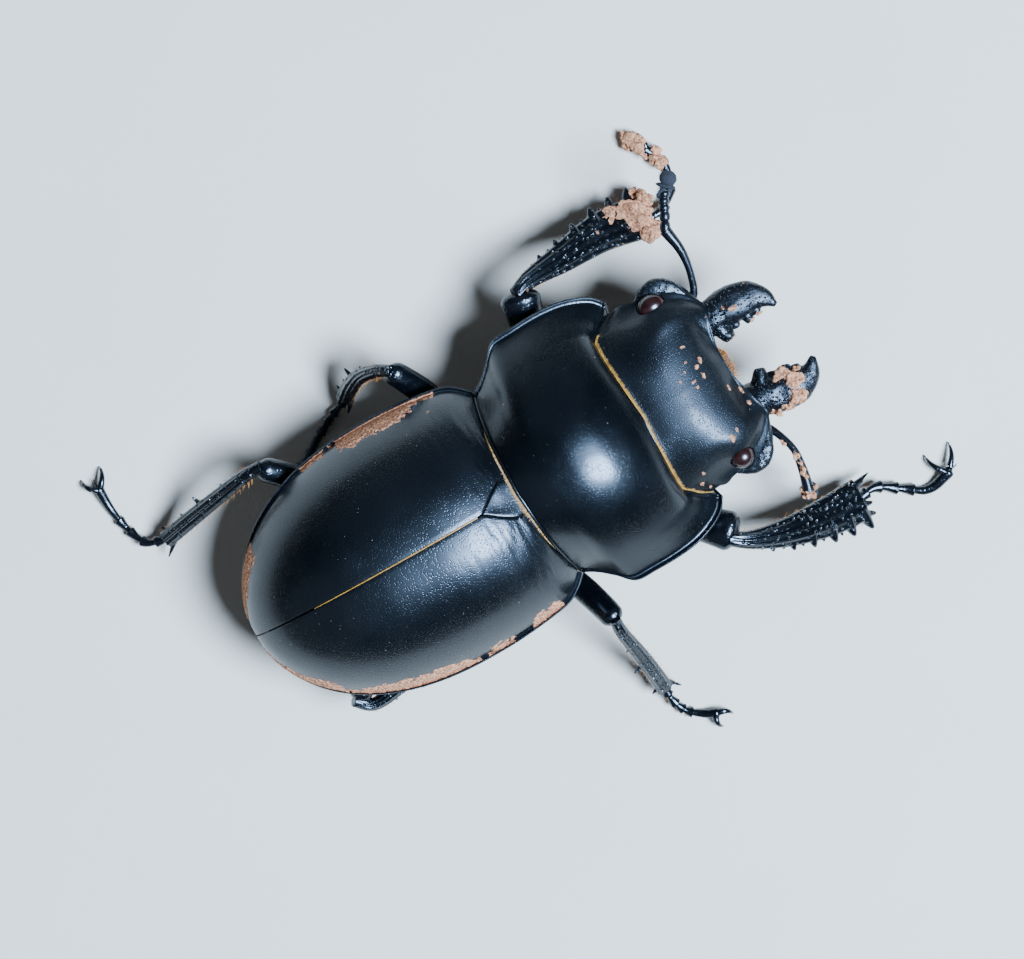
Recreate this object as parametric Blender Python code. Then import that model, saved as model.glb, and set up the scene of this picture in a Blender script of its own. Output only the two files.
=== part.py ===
"""A black stag beetle, Neolucanus brevis, at life size, standing on a floor.

Sizes are millimetres in body coordinates: f runs forward from the line through the hind corners
of the pronotum, v to the beetle's left and z up from the floor. In the model forward is -Y and
left is +X. Each node is a closed solid, and neighbours stand GAP apart.
"""

import math

import bmesh
import bpy
from mathutils import Matrix, Vector

MM = 0.001
GAP = 0.3

# Elytra
ELYTRA_LENGTH = 19.2
ELYTRA_HALF_WIDTH = 8.28
ELYTRA_WIDEST_AT = 12.3
ELYTRA_CROWN = 5.7
ELYTRA_MARGIN_Z = 6.5
ELYTRA_EDGE_DEPTH = 0.75
ELYTRA_BASE_BEND = 1.05

# Fore body: the head and pronotum turn a little to the beetle's left
FORE_YAW = math.radians(1.9)
# Rows from the rear edge to the front edge: side f, half width, middle f, middle z, side z
PRONOTUM_ROWS = (
    (0.00, 6.45, -1.00, 11.10, 6.75),
    (0.75, 6.90, -0.30, 11.40, 6.80),
    (1.60, 7.65, 0.60, 11.65, 6.85),
    (2.55, 8.58, 1.60, 11.85, 6.90),
    (4.00, 8.70, 3.00, 12.00, 6.95),
    (5.60, 8.72, 4.50, 11.85, 6.95),
    (7.05, 8.58, 5.80, 11.40, 6.90),
    (8.20, 8.24, 6.90, 10.80, 6.80),
    (9.20, 7.70, 7.55, 10.25, 6.60),
    (9.80, 6.95, 7.85, 9.95, 6.45),
)
PRONOTUM_FLOOR_Z = 5.9
PRONOTUM_REAR_BEND = ((0, 1), (0.5, 0.8), (0.75, 0.55), (0.93, 0.25), (1, 0))
PRONOTUM_FRONT_BEND = (
    (0, 0.93), (0.3, 1.0), (0.74, 1.0), (0.80, 0.80), (0.87, 0.56), (0.92, 0.26), (1, 0),
)
HEAD_ROWS = (
    (9.95, 6.30, 8.25, 9.62, 7.30),
    (10.40, 6.38, 9.20, 9.86, 7.40),
    (10.95, 6.18, 10.10, 9.93, 7.45),
    (11.40, 6.14, 10.90, 9.86, 7.50),
    (12.05, 6.50, 11.60, 9.68, 7.50),
    (12.70, 6.68, 12.20, 9.42, 7.50),
    (13.35, 6.42, 12.80, 9.08, 7.45),
    (13.90, 5.95, 13.35, 8.66, 7.40),
    (14.35, 5.20, 13.80, 8.22, 7.35),
    (14.60, 4.35, 14.10, 7.90, 7.30),
)
HEAD_REAR_BEND = ((0, 1), (0.83, 1.0), (0.89, 0.72), (0.95, 0.42), (1, 0))
HEAD_FRONT_BEND = ((0, 1), (0.3, 0.85), (0.6, 0.1), (0.85, -0.5), (1, 0))
HEAD_DOME = (
    (0, 1), (0.3, 0.97), (0.5, 0.88), (0.65, 0.74), (0.78, 0.50), (0.88, 0.20), (0.95, 0.04), (1, 0),
)
HEAD_FLOOR_Z = 5.0

# Eyes, cut in two by the canthus: centre f, v and z, then the half sizes
EYE_UPPER = ((12.00, 5.38, 7.75), (0.82, 0.62, 0.62))
EYE_LOWER = ((12.10, 5.75, 5.60), (0.80, 0.62, 0.60))

# Mandibles, drawn for the left side: f, v, z, width and depth from root to tip
MANDIBLE_ROWS = (
    (13.9, 2.90, 6.70, 2.3, 1.9),
    (14.9, 2.85, 6.75, 2.3, 2.0),
    (15.9, 2.90, 6.85, 2.4, 1.9),
    (16.8, 2.85, 6.95, 2.3, 1.6),
    (17.6, 2.60, 7.00, 1.9, 1.2),
    (18.2, 2.15, 7.05, 1.2, 0.8),
    (18.6, 1.45, 7.10, 0.35, 0.35),
)
# Inner teeth: root f and v, tip f and v, tip z, root radius
MANDIBLE_TEETH = (
    (14.9, 2.3, 15.2, 1.10, 7.0, 0.70),
    (15.8, 2.2, 15.9, 1.50, 6.9, 0.50),
    (16.7, 2.2, 16.8, 1.42, 7.0, 0.50),
    (17.4, 2.1, 17.4, 1.55, 7.1, 0.40),
)
MANDIBLE_OPENING = {"left": math.radians(0.0), "right": math.radians(-12.0)}
MANDIBLE_HINGE = (14.2, 3.6, 6.8)
BLUNT_TIP = 0.22
SHARP_TIP = 0.06

# Mouth: paths as f, v, z, then widths and depths along them
LIP_PATH = ((13.3, 0, 6.2), (14.2, 0, 6.2), (14.8, 0, 6.15))
LIP_WIDTH = (2.4, 2.0, 1.4)
LIP_DEPTH = (0.8, 0.7, 0.55)
CHIN_PATH = ((10.6, 0, 4.3), (12.4, 0, 4.25), (13.9, 0, 4.4))
CHIN_WIDTH = (3.4, 5.2, 4.4)
CHIN_DEPTH = (0.8, 0.8, 0.7)
PALP_PATH = ((13.4, 2.2, 4.2), (14.6, 2.3, 4.0), (15.5, 2.7, 3.9), (16.3, 3.3, 3.8))
PALP_THICK = (0.5, 0.55, 0.5, 0.6)

# Scutellum: f, half width, z of its keel
SCUTELLUM_ROWS = ((-1.55, 1.2, 11.30), (-2.0, 1.1, 11.47), (-2.7, 0.65, 11.66), (-3.3, 0.12, 11.78))
SCUTELLUM_DEPTH = 1.1

# Underside: f, half width and lowest z of each cross section, and where the belly rings part
FORE_KEEL = ((-0.1, 5.9, 3.4), (1.2, 7.0, 2.6), (3.4, 8.1, 2.3), (6.0, 8.0, 2.6), (7.6, 6.6, 3.4))
FORE_KEEL_TOP = 5.6
THORAX_KEEL = ((-1.0, 5.6, 3.1), (-2.6, 7.0, 2.5), (-5.0, 7.4, 2.2), (-7.4, 7.5, 2.2), (-8.5, 7.4, 2.4))
BELLY_EDGES = (-8.8, -10.6, -12.4, -14.2, -16.0, -18.3)
BELLY_SHARE = 0.9
BELLY_LOW = 2.45
BELLY_RISE = 2.1
BELLY_ROOM = 0.35

# Legs: hip, then femur, tibia and tarsus as f, v, z points, foot claws last
LEGS = {
    "front_left": {
        "coxa": ((3.3, 2.5, 3.0), (1.35, 1.7, 1.25)),
        "femur": (
            (3.5, 3.0, 2.5), (4.0, 5.0, 3.0), (4.6, 7.4, 4.2),
            (4.95, 9.3, 5.2), (5.2, 10.35, 5.5),
        ),
        "tibia": (
            (5.3, 10.5, 5.7), (6.3, 10.8, 5.4), (8.6, 10.93, 4.4),
            (11.5, 11.1, 2.9), (14.0, 10.75, 1.5),
        ),
        "tarsus": (
            (13.9, 10.5, 1.4), (15.6, 10.4, 1.0), (16.9, 11.5, 0.42),
            (17.2, 12.9, 0.32), (16.5, 14.4, 0.7),
        ),
        "claws": ((15.6, 15.2, 0.10), (16.5, 15.5, 0.10)),
    },
    "front_right": {
        "coxa": ((3.5, -2.5, 3.0), (1.35, 1.7, 1.25)),
        "femur": (
            (3.9, -3.0, 2.5), (5.4, -4.7, 3.0), (7.2, -6.7, 4.2),
            (8.75, -8.2, 5.2), (9.6, -9.05, 5.5),
        ),
        "tibia": (
            (9.3, -9.3, 5.7), (10.3, -9.95, 5.4), (12.5, -10.75, 4.4),
            (15.2, -11.3, 2.9), (17.6, -11.5, 1.5),
        ),
        "tarsus": (
            (17.4, -11.55, 1.4), (18.8, -11.35, 1.0), (20.3, -12.3, 0.42),
            (21.8, -13.2, 0.32), (23.6, -12.75, 0.7),
        ),
        "claws": ((24.3, -11.2, 0.10), (22.6, -11.2, 0.10)),
    },
    "mid_left": {
        "coxa": ((-2.4, 2.8, 2.8), (1.35, 1.4, 1.15)),
        "femur": (
            (-2.3, 3.3, 2.3), (-2.3, 5.2, 2.8), (-2.7, 7.4, 4.1),
            (-3.5, 9.2, 5.5), (-4.0, 10.1, 6.2),
        ),
        "tibia": (
            (-4.1, 10.2, 6.4), (-4.8, 10.55, 5.6), (-5.8, 10.7, 4.2),
            (-6.7, 10.4, 2.7), (-7.4, 9.9, 1.3),
        ),
        "tarsus": (
            (-7.2, 9.9, 1.3), (-8.2, 9.5, 0.75), (-9.3, 9.0, 0.34),
            (-10.5, 8.3, 0.28), (-11.8, 7.4, 0.65),
        ),
        "claws": ((-12.9, 7.3, 0.10), (-12.5, 6.4, 0.10)),
    },
    "mid_right": {
        "coxa": ((-2.4, -2.8, 2.8), (1.35, 1.4, 1.15)),
        "femur": (
            (-2.0, -3.3, 2.3), (-1.2, -5.2, 2.8), (-0.3, -7.4, 4.1),
            (0.3, -9.2, 5.4), (0.5, -10.0, 6.0),
        ),
        "tibia": (
            (0.5, -10.2, 6.2), (0.5, -11.0, 5.6), (0.8, -12.8, 4.0),
            (1.0, -14.4, 2.6), (1.15, -15.8, 1.3),
        ),
        "tarsus": (
            (1.1, -15.6, 1.3), (1.2, -16.8, 0.75), (1.6, -17.8, 0.34),
            (2.4, -18.5, 0.28), (3.4, -19.0, 0.65),
        ),
        "claws": ((4.1, -19.5, 0.10), (3.2, -19.9, 0.10)),
    },
    "hind_left": {
        "coxa": ((-8.3, 3.4, 2.9), (1.1, 2.4, 1.1)),
        "femur": (
            (-8.8, 3.2, 2.3), (-10.0, 4.6, 2.8), (-11.6, 6.4, 4.0),
            (-13.1, 8.0, 5.1), (-13.9, 8.8, 5.6),
        ),
        "tibia": (
            (-14.1, 8.9, 5.8), (-15.1, 8.85, 5.4), (-17.2, 8.5, 4.2),
            (-19.4, 8.1, 2.7), (-21.4, 7.7, 1.3),
        ),
        "tarsus": (
            (-21.2, 7.75, 1.3), (-22.6, 8.1, 0.8), (-23.3, 9.5, 0.34),
            (-23.6, 11.1, 0.28), (-23.6, 12.7, 0.65),
        ),
        "claws": ((-22.9, 13.7, 0.10), (-24.3, 13.5, 0.10)),
    },
    "hind_right": {
        "coxa": ((-8.3, -3.4, 2.9), (1.1, 2.4, 1.1)),
        "femur": (
            (-8.9, -3.0, 2.3), (-10.8, -3.7, 2.7), (-13.0, -4.9, 3.8),
            (-14.9, -6.0, 4.7), (-15.7, -6.4, 5.0),
        ),
        "tibia": (
            (-15.8, -6.75, 4.9), (-15.0, -7.4, 4.5), (-13.1, -7.3, 3.5),
            (-11.0, -7.0, 2.3), (-9.2, -6.7, 1.3),
        ),
        "tarsus": (
            (-9.4, -6.7, 1.3), (-8.3, -6.3, 0.75), (-7.6, -5.3, 0.34),
            (-7.2, -4.1, 0.28), (-6.9, -2.8, 0.6),
        ),
        "claws": ((-6.3, -1.9, 0.10), (-7.2, -1.8, 0.10)),
    },
}
# Width and depth along a femur and a tibia, front legs then the others
FEMUR_WIDTH = {"front": (1.1, 1.7, 2.05, 2.3, 2.1), "other": (0.9, 1.4, 1.65, 1.55, 1.2)}
FEMUR_DEPTH = {"front": (0.9, 1.2, 1.35, 1.55, 1.5), "other": (0.8, 1.0, 1.15, 1.2, 1.05)}
TIBIA_WIDTH = {"front": (0.95, 1.2, 1.85, 2.5, 2.8), "other": (0.75, 0.85, 1.0, 1.1, 1.1)}
TIBIA_DEPTH = {"front": (0.9, 0.95, 0.95, 0.9, 0.8), "other": (0.75, 0.8, 0.85, 0.9, 0.85)}
TARSUS_THICK = {"front": 0.64, "other": 0.56}
# Teeth on a tibia: place along it, length, root radius, lean forward as a share of the length
FRONT_TEETH = (
    (0.38, 0.22, 0.28, 0.3), (0.51, 0.28, 0.34, 0.3), (0.63, 0.36, 0.40, 0.3),
    (0.75, 0.44, 0.44, 0.5), (0.87, 0.52, 0.46, 0.7), (0.98, 0.56, 0.44, 1.2),
)
OTHER_TEETH = ((0.62, 0.55, 0.24, 0.3), (0.95, 0.40, 0.22, 0.4))
# The two spurs at a tibia's end: reach forward and inward, root radius
SPURS = ((0.9, 0.55, 0.2), (0.75, 0.05, 0.2))
# Foot joints: share of the foot where each ends, and the swelling along one joint
FOOT_SHARES = (0.0, 0.16, 0.31, 0.46, 0.61, 1.0)
FOOT_SWELL = ((0.06, 0.72), (0.8, 1.25), (0.97, 0.8))
CLAW_RADII = (0.25, 0.18)
CLAW_ARCH = 0.35
CLAW_ROOT = 0.3
CLAW_APART = 0.09

# Antennae: f, v, z points of the scape and of the jointed whip with its club
SCAPE = {
    "left": (
        (14.0, 4.3, 6.6), (14.7, 4.7, 6.9), (15.15, 6.0, 7.4),
        (15.3, 7.4, 7.8), (15.1, 8.9, 8.1),
    ),
    "right": (
        (14.0, -4.5, 6.6), (14.5, -5.1, 6.9), (14.95, -6.6, 7.2),
        (14.8, -8.0, 7.2), (14.45, -9.4, 6.9),
    ),
}
WHIP = {
    "left": (
        (15.2, 9.1, 8.1), (15.6, 9.8, 8.15), (15.95, 10.5, 8.2),
        (16.4, 11.1, 8.25), (16.9, 11.55, 8.3),
    ),
    "right": (
        (14.45, -9.4, 6.4), (14.5, -9.5, 5.8), (14.55, -9.6, 5.2),
        (14.6, -9.65, 4.6), (14.65, -9.75, 4.0),
    ),
}
SCAPE_WIDTH = (0.7, 0.55, 0.5, 0.62, 0.8)
WHIP_BEADS = 11
BEAD_THICK = (0.72, 0.52)
# Club leaves: place along the whip, then half sizes along it, across it and upright
CLUB_LEAVES = ((0.66, 0.27, 0.55, 0.45), (0.82, 0.27, 0.62, 0.50), (0.98, 0.50, 0.56, 0.52))

FINISHES = {
    "cuticle": ((0.006, 0.007, 0.009), 0.22),
    "eye": ((0.05, 0.008, 0.006), 0.08),
    "antenna": ((0.012, 0.012, 0.014), 0.35),
    "mouth": ((0.16, 0.05, 0.012), 0.45),
}


def at(f, v, z):
    """World place in metres of a body point in millimetres."""
    return Vector((v, -f, z)) * MM


def smooth_value(table, x):
    """Value at x from (x, value) pairs, by a cubic that passes through each pair."""
    last = len(table) - 1
    x = min(max(x, table[0][0]), table[last][0])
    i = next((k for k in range(last) if x <= table[k + 1][0]), last - 1)
    slopes = []
    for k in (i, i + 1):
        low, high = max(k - 1, 0), min(k + 1, last)
        slopes.append((table[high][1] - table[low][1]) / (table[high][0] - table[low][0]))
    span = table[i + 1][0] - table[i][0]
    t = (x - table[i][0]) / span
    return (
        table[i][1] * (2 * t**3 - 3 * t**2 + 1)
        + slopes[0] * span * (t**3 - 2 * t**2 + t)
        + table[i + 1][1] * (3 * t**2 - 2 * t**3)
        + slopes[1] * span * (t**3 - t**2)
    )


def spread(values):
    """(x, value) pairs with the values spread evenly over 0 to 1."""
    return tuple((i / (len(values) - 1), value) for i, value in enumerate(values))


def finish(obj, kind):
    """Gives a node its own material."""
    colour, roughness = FINISHES[kind]
    material = bpy.data.materials.new(obj.name + "_finish")
    material.use_nodes = True
    shader = material.node_tree.nodes["Principled BSDF"]
    shader.inputs["Base Color"].default_value = (*colour, 1)
    shader.inputs["Roughness"].default_value = roughness
    shader.inputs["Metallic"].default_value = 0.0
    obj.data.materials.clear()
    obj.data.materials.append(material)


def new_object(name, bm, origin):
    """An object from a bmesh in body coordinates, with its own origin at a body point."""
    bmesh.ops.remove_doubles(bm, verts=bm.verts, dist=1e-7)
    bmesh.ops.recalc_face_normals(bm, faces=bm.faces)
    place = at(*origin)
    bmesh.ops.translate(bm, vec=-place, verts=bm.verts)
    mesh = bpy.data.meshes.new(name)
    bm.to_mesh(mesh)
    bm.free()
    obj = bpy.data.objects.new(name, mesh)
    obj.location = place
    return obj


def add_node(name, bm, origin, parent, kind="cuticle"):
    """A named part of the beetle in its own collection, parent and material."""
    obj = new_object(name, bm, origin)
    BEETLE.objects.link(obj)
    obj.parent = parent
    finish(obj, kind)
    return obj


def loft(rings):
    """A closed surface through rings of points, with a flat cap at each end."""
    bm = bmesh.new()
    rows = [[bm.verts.new(point) for point in ring] for ring in rings]
    count = len(rows[0])
    for near, far in zip(rows, rows[1:]):
        for i in range(count):
            bm.faces.new((near[i], near[(i + 1) % count], far[(i + 1) % count], far[i]))
    bm.faces.new(rows[0][::-1])
    bm.faces.new(rows[-1])
    return bm


def slab(top, bottom):
    """A closed plate between two grids of points of the same size."""
    bm = bmesh.new()
    faces = []
    sheets = [[[bm.verts.new(point) for point in row] for row in grid] for grid in (top, bottom)]
    rows, columns = len(top), len(top[0])
    for sheet in sheets:
        for i in range(rows - 1):
            for j in range(columns - 1):
                faces.append((sheet[i][j], sheet[i][j + 1], sheet[i + 1][j + 1], sheet[i + 1][j]))
    upper, lower = sheets
    for j in range(columns - 1):
        for i in (0, rows - 1):
            faces.append((upper[i][j], upper[i][j + 1], lower[i][j + 1], lower[i][j]))
    for i in range(rows - 1):
        for j in (0, columns - 1):
            faces.append((upper[i][j], upper[i + 1][j], lower[i + 1][j], lower[i][j]))
    for corners in faces:
        bm.faces.new(corners)
    return bm


def limb_rings(points, widths, depths, sides, steps):
    """Oval rings square to a smooth path: each width lies level and each depth upright."""
    tracks = [spread([point[axis] for point in points]) for axis in range(3)]
    wide, deep = spread(widths), spread(depths)
    middles = [
        Vector(at(*(smooth_value(track, i / steps) for track in tracks))) for i in range(steps + 1)
    ]
    rings = []
    for i, middle in enumerate(middles):
        ahead = middles[min(i + 1, steps)] - middles[max(i - 1, 0)]
        across = ahead.cross(Vector((0, 0, 1))).normalized()
        upward = across.cross(ahead).normalized()
        half_width = smooth_value(wide, i / steps) * MM / 2
        half_depth = smooth_value(deep, i / steps) * MM / 2
        ring = []
        for k in range(sides):
            angle = 2 * math.pi * (k + 0.5) / sides
            ring.append(
                middle + across * half_width * math.cos(angle) + upward * half_depth * math.sin(angle)
            )
        rings.append(ring)
    return rings


def ball(centre, half_sizes, segments=12, rings=7):
    """An egg shape at a body point, as a bmesh."""
    bm = bmesh.new()
    bmesh.ops.create_uvsphere(bm, u_segments=segments, v_segments=rings, radius=MM)
    half_f, half_v, half_z = half_sizes
    bmesh.ops.scale(bm, vec=Vector((half_v, half_f, half_z)), verts=bm.verts)
    bmesh.ops.translate(bm, vec=at(*centre), verts=bm.verts)
    return bm


def spike(root, tip, radius, point=SHARP_TIP, sides=6):
    """A pointed cone from a root to a tip, both in metres, as a loose object."""
    bm = bmesh.new()
    axis = tip - root
    bmesh.ops.create_cone(
        bm, cap_ends=True, segments=sides, radius1=radius * MM, radius2=point * MM, depth=axis.length
    )
    turn = Vector((0, 0, 1)).rotation_difference(axis.normalized()).to_matrix().to_4x4()
    bmesh.ops.transform(bm, matrix=Matrix.Translation((root + tip) / 2) @ turn, verts=bm.verts)
    return new_object("spike", bm, (0, 0, 0))


def make_real(obj):
    """Replaces an object's mesh with its modifiers' result, keeping the largest closed surface."""
    bpy.context.view_layer.update()
    graph = bpy.context.evaluated_depsgraph_get()
    mesh = bpy.data.meshes.new_from_object(obj.evaluated_get(graph))
    old = obj.data
    obj.modifiers.clear()
    obj.data = mesh
    bpy.data.meshes.remove(old)
    bm = bmesh.new()
    bm.from_mesh(mesh)
    bmesh.ops.remove_doubles(bm, verts=bm.verts, dist=1e-7)
    shells, seen = [], set()
    for start in bm.verts:
        if start in seen:
            continue
        shell, waiting = set(), [start]
        while waiting:
            vert = waiting.pop()
            if vert in shell:
                continue
            shell.add(vert)
            waiting.extend(edge.other_vert(vert) for edge in vert.link_edges)
        seen |= shell
        shells.append(shell)
    shells.sort(key=len)
    for scrap in shells[:-1]:
        bmesh.ops.delete(bm, geom=list(scrap), context="VERTS")
    bm.to_mesh(mesh)
    bm.free()


def cut(obj, other):
    """Cuts one object with another, which is then removed."""
    step = obj.modifiers.new("cut", "BOOLEAN")
    step.operation = "DIFFERENCE"
    step.solver = "MANIFOLD"
    step.object = other
    make_real(obj)
    bpy.data.objects.remove(other)


def fuse(node, pieces):
    """Joins closed pieces to a node with one union, after which they are removed."""
    group = bpy.data.collections.new(node.name + "_pieces")
    CUTTERS.children.link(group)
    for piece in pieces:
        piece.parent = node.parent
        group.objects.link(piece)
    step = node.modifiers.new("union", "BOOLEAN")
    step.operation = "UNION"
    step.operand_type = "COLLECTION"
    step.collection = group
    make_real(node)
    for piece in pieces:
        bpy.data.objects.remove(piece)
    bpy.data.collections.remove(group)


def grown(host, by):
    """A copy of a node swollen by some millimetres, to cut a neighbour clear of it."""
    copy = host.copy()
    copy.data = host.data.copy()
    CUTTERS.objects.link(copy)
    copy.hide_render = True
    copy.display_type = "WIRE"
    swell = copy.modifiers.new("swell", "DISPLACE")
    swell.strength = by * MM
    swell.mid_level = 0.0
    make_real(copy)
    return copy


def clear_of(piece, *hosts):
    """Trims a piece so that it meets each host face to face with the usual gap."""
    for host in hosts:
        cut(piece, grown(host, GAP))


def elytron_half_width(u):
    """Half the width of both elytra, u millimetres forward of their tips."""
    if u < ELYTRA_WIDEST_AT:
        back = (ELYTRA_WIDEST_AT - u) / ELYTRA_WIDEST_AT
        return ELYTRA_HALF_WIDTH * math.sqrt(max(0, 1 - back**2.35))
    ahead = (u - ELYTRA_WIDEST_AT) / 5.2
    shoulder = max(0, (u - 17.3) / 1.85)
    return ELYTRA_HALF_WIDTH - 0.5 * min(ahead, 1) ** 2 - 1.2 * shoulder**1.7


def elytron_crown(u):
    """Height of the suture over the margin."""
    if u < 12:
        return ELYTRA_CROWN * max(0, 1 - ((12 - u) / 12) ** 2.6) ** 0.62
    return ELYTRA_CROWN - 1.25 * ((u - 12) / 7.2) ** 2


def elytron_dome(t):
    """Share of the crown left at a share t of the way from suture to margin."""
    return max(0, 1 - (t / 0.965) ** 2.4) ** 0.8


def elytron_plan(u, t, side):
    """Plan place of a share t of the way from suture to margin, at the side's station u."""
    bend = max(0, (u - 13.5) / (ELYTRA_LENGTH - 13.5)) ** 1.6
    v = side * (GAP / 2 + t * (elytron_half_width(u) - GAP / 2))
    f = u - ELYTRA_LENGTH - ELYTRA_BASE_BEND * bend * (1 - t**4) - v * math.sin(FORE_YAW) * bend
    return f, v


def make_elytron(side, name):
    """One hard wing case with the folded wing under it, as one solid down to its margin."""
    rows = 15
    columns = 9
    top, bottom = [], []
    for i in range(rows):
        u = 0.12 + (ELYTRA_LENGTH - 0.3) * (1 - math.cos(math.pi * i / (rows - 1))) / 2
        margin = ELYTRA_MARGIN_Z - 0.35 * max(0, 1 - u / 6) ** 2
        top.append([])
        bottom.append([])
        for j in range(columns):
            t = math.sin(math.pi / 2 * j / (columns - 1))
            f, v = elytron_plan(u, t, side)
            lift = elytron_crown(u) * elytron_dome(t) + (0.12 if j == columns - 1 else 0)
            top[-1].append(at(f, v, margin + lift))
            bottom[-1].append(at(f, v, margin - ELYTRA_EDGE_DEPTH))
    return add_node(name, slab(top, bottom), (-1.4, side * 2.0, ELYTRA_MARGIN_Z), BODY)


def plate_point(rows, rear, front, dome, s, t):
    """Place on a body plate: s from rear to front edge, t from the middle to the left side."""
    side_f, half, mid_f, mid_z, side_z = (
        smooth_value(spread([row[k] for row in rows]), s) for k in range(5)
    )
    bend = smooth_value(rear, abs(t)) * (1 - s * s) + smooth_value(front, abs(t)) * s * s
    return side_f + (mid_f - side_f) * bend, t * half, side_z + (mid_z - side_z) * dome(abs(t))


def plate_grids(rows, rear, front, dome, floor, steps, columns):
    """Top and bottom grids of a body plate."""
    top, bottom = [], []
    for i in range(steps + 1):
        top.append([])
        bottom.append([])
        for j in range(-columns, columns + 1):
            t = math.sin(math.pi / 2 * j / columns)
            f, v, z = plate_point(rows, rear, front, dome, i / steps, t)
            top[-1].append(at(f, v, z))
            bottom[-1].append(at(f, v, floor(abs(t))))
    return top, bottom


def pronotum_dome(t):
    """Cross section of the pronotum: a broad arch with flattened sides."""
    return max(0, 1 - (t / 0.96) ** 2.2) ** 1.15


def make_pronotum():
    """The shield behind the head, its front corners reaching round the head."""
    grids = plate_grids(
        PRONOTUM_ROWS, PRONOTUM_REAR_BEND, PRONOTUM_FRONT_BEND, pronotum_dome,
        lambda t: PRONOTUM_FLOOR_Z, 12, 8,
    )
    return add_node("pronotum", slab(*grids), (0, 0, PRONOTUM_FLOOR_Z), FORE)


def make_head():
    """The head capsule: domed top, notched front edge and the canthus lobes at its sides."""
    grids = plate_grids(
        HEAD_ROWS, HEAD_REAR_BEND, HEAD_FRONT_BEND, lambda t: smooth_value(HEAD_DOME, t),
        lambda t: HEAD_FLOOR_Z + 1.3 * t**5, 12, 8,
    )
    return add_node("head", slab(*grids), (8.3, 0, HEAD_FLOOR_Z), FORE)


def keel(stations, top, steps_round=10):
    """Rings of an underside: flat above, rounded below. Stations are f, half width and lowest z."""
    rings = []
    for f, half, low in stations:
        ring = []
        for k in range(steps_round + 1):
            v = half * math.cos(math.pi * k / steps_round)
            ring.append(at(f, v, low + (top - low) * (abs(v) / half) ** 1.7 * 0.98))
        ring += [at(f, -half, top), at(f, half, top)]
        rings.append(ring)
    return rings


def belly_stations():
    """Stations of the belly: each ring is pinched at its front edge."""
    length = BELLY_EDGES[0] - BELLY_EDGES[-1]
    rows = []
    for start, end in zip(BELLY_EDGES, BELLY_EDGES[1:]):
        for share, pinch in ((0.02, 0.94), (0.15, 1.0), (0.85, 1.0)):
            f = start + (end - start) * share
            half = BELLY_SHARE * elytron_half_width(f + ELYTRA_LENGTH) * pinch
            rise = BELLY_RISE * ((BELLY_EDGES[0] - f) / length) ** 2.2
            rows.append((f, half, BELLY_LOW + rise + 2 * (1 - pinch)))
    return rows


def make_underside():
    """Prothorax, thorax and belly below the plates, as three solids."""
    top = ELYTRA_MARGIN_Z - ELYTRA_EDGE_DEPTH - GAP - BELLY_ROOM
    parts = (
        ("prosternum", FORE_KEEL, FORE_KEEL_TOP, FORE),
        ("thorax_underside", THORAX_KEEL, top, BODY),
        ("abdomen", belly_stations(), top, BODY),
    )
    return {
        name: add_node(name, loft(keel(rows, level)), (rows[0][0], 0, level), parent)
        for name, rows, level, parent in parts
    }


def make_scutellum():
    """The small three-cornered shield between the bases of the wing cases."""
    rings = []
    for f, half, z in SCUTELLUM_ROWS:
        low, edge = z - SCUTELLUM_DEPTH, z - 0.15
        corners = ((-half, low), (half, low), (half, edge), (0, z), (-half, edge))
        rings.append([at(f, v, height) for v, height in corners])
    f, _, z = SCUTELLUM_ROWS[0]
    return add_node("scutellum", loft(rings), (f, 0, z - SCUTELLUM_DEPTH), BODY)


def make_eyes(head, side, sign):
    """The upper and lower lobe of one eye, each in a socket cut in the head."""
    for lobe, (centre, half_sizes) in (("upper", EYE_UPPER), ("lower", EYE_LOWER)):
        middle = (centre[0], sign * centre[1], centre[2])
        eye = add_node(f"eye_{side}_{lobe}", ball(middle, half_sizes, 12, 8), middle, FORE, "eye")
        cut(head, grown(eye, GAP))


def make_mandible(head, side, sign):
    """A short curved jaw with blunt teeth along its inner edge."""
    points = [(f, sign * v, z) for f, v, z, _, _ in MANDIBLE_ROWS]
    widths = [row[3] for row in MANDIBLE_ROWS]
    depths = [row[4] for row in MANDIBLE_ROWS]
    hinge_f, hinge_v, hinge_z = MANDIBLE_HINGE
    rings = limb_rings(points, widths, depths, 10, 10)
    jaw = add_node(f"mandible_{side}", loft(rings), (hinge_f, sign * hinge_v, hinge_z), FORE)
    teeth = []
    for root_f, root_v, tip_f, tip_v, tip_z, radius in MANDIBLE_TEETH:
        root = at(root_f, sign * root_v, hinge_z)
        teeth.append(spike(root, at(tip_f, sign * tip_v, tip_z), radius, BLUNT_TIP))
    fuse(jaw, teeth)
    jaw.rotation_euler.z = MANDIBLE_OPENING[side]
    clear_of(jaw, head)


def make_mouth(head):
    """Upper lip, the chin plate below the head, and a pair of feelers at the mouth."""
    lip = limb_rings(LIP_PATH, LIP_WIDTH, LIP_DEPTH, 8, 3)
    chin = limb_rings(CHIN_PATH, CHIN_WIDTH, CHIN_DEPTH, 8, 4)
    lip = add_node("labrum", loft(lip), LIP_PATH[1], FORE, "mouth")
    chin = add_node("mentum", loft(chin), CHIN_PATH[1], FORE)
    clear_of(lip, head)
    clear_of(chin, head)
    for side, sign in SIDES:
        path = [(f, sign * v, z) for f, v, z in PALP_PATH]
        rings = limb_rings(path, PALP_THICK, PALP_THICK, 6, 6)
        palp = add_node(f"palp_{side}", loft(rings), path[0], FORE, "antenna")
        clear_of(palp, chin)


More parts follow.
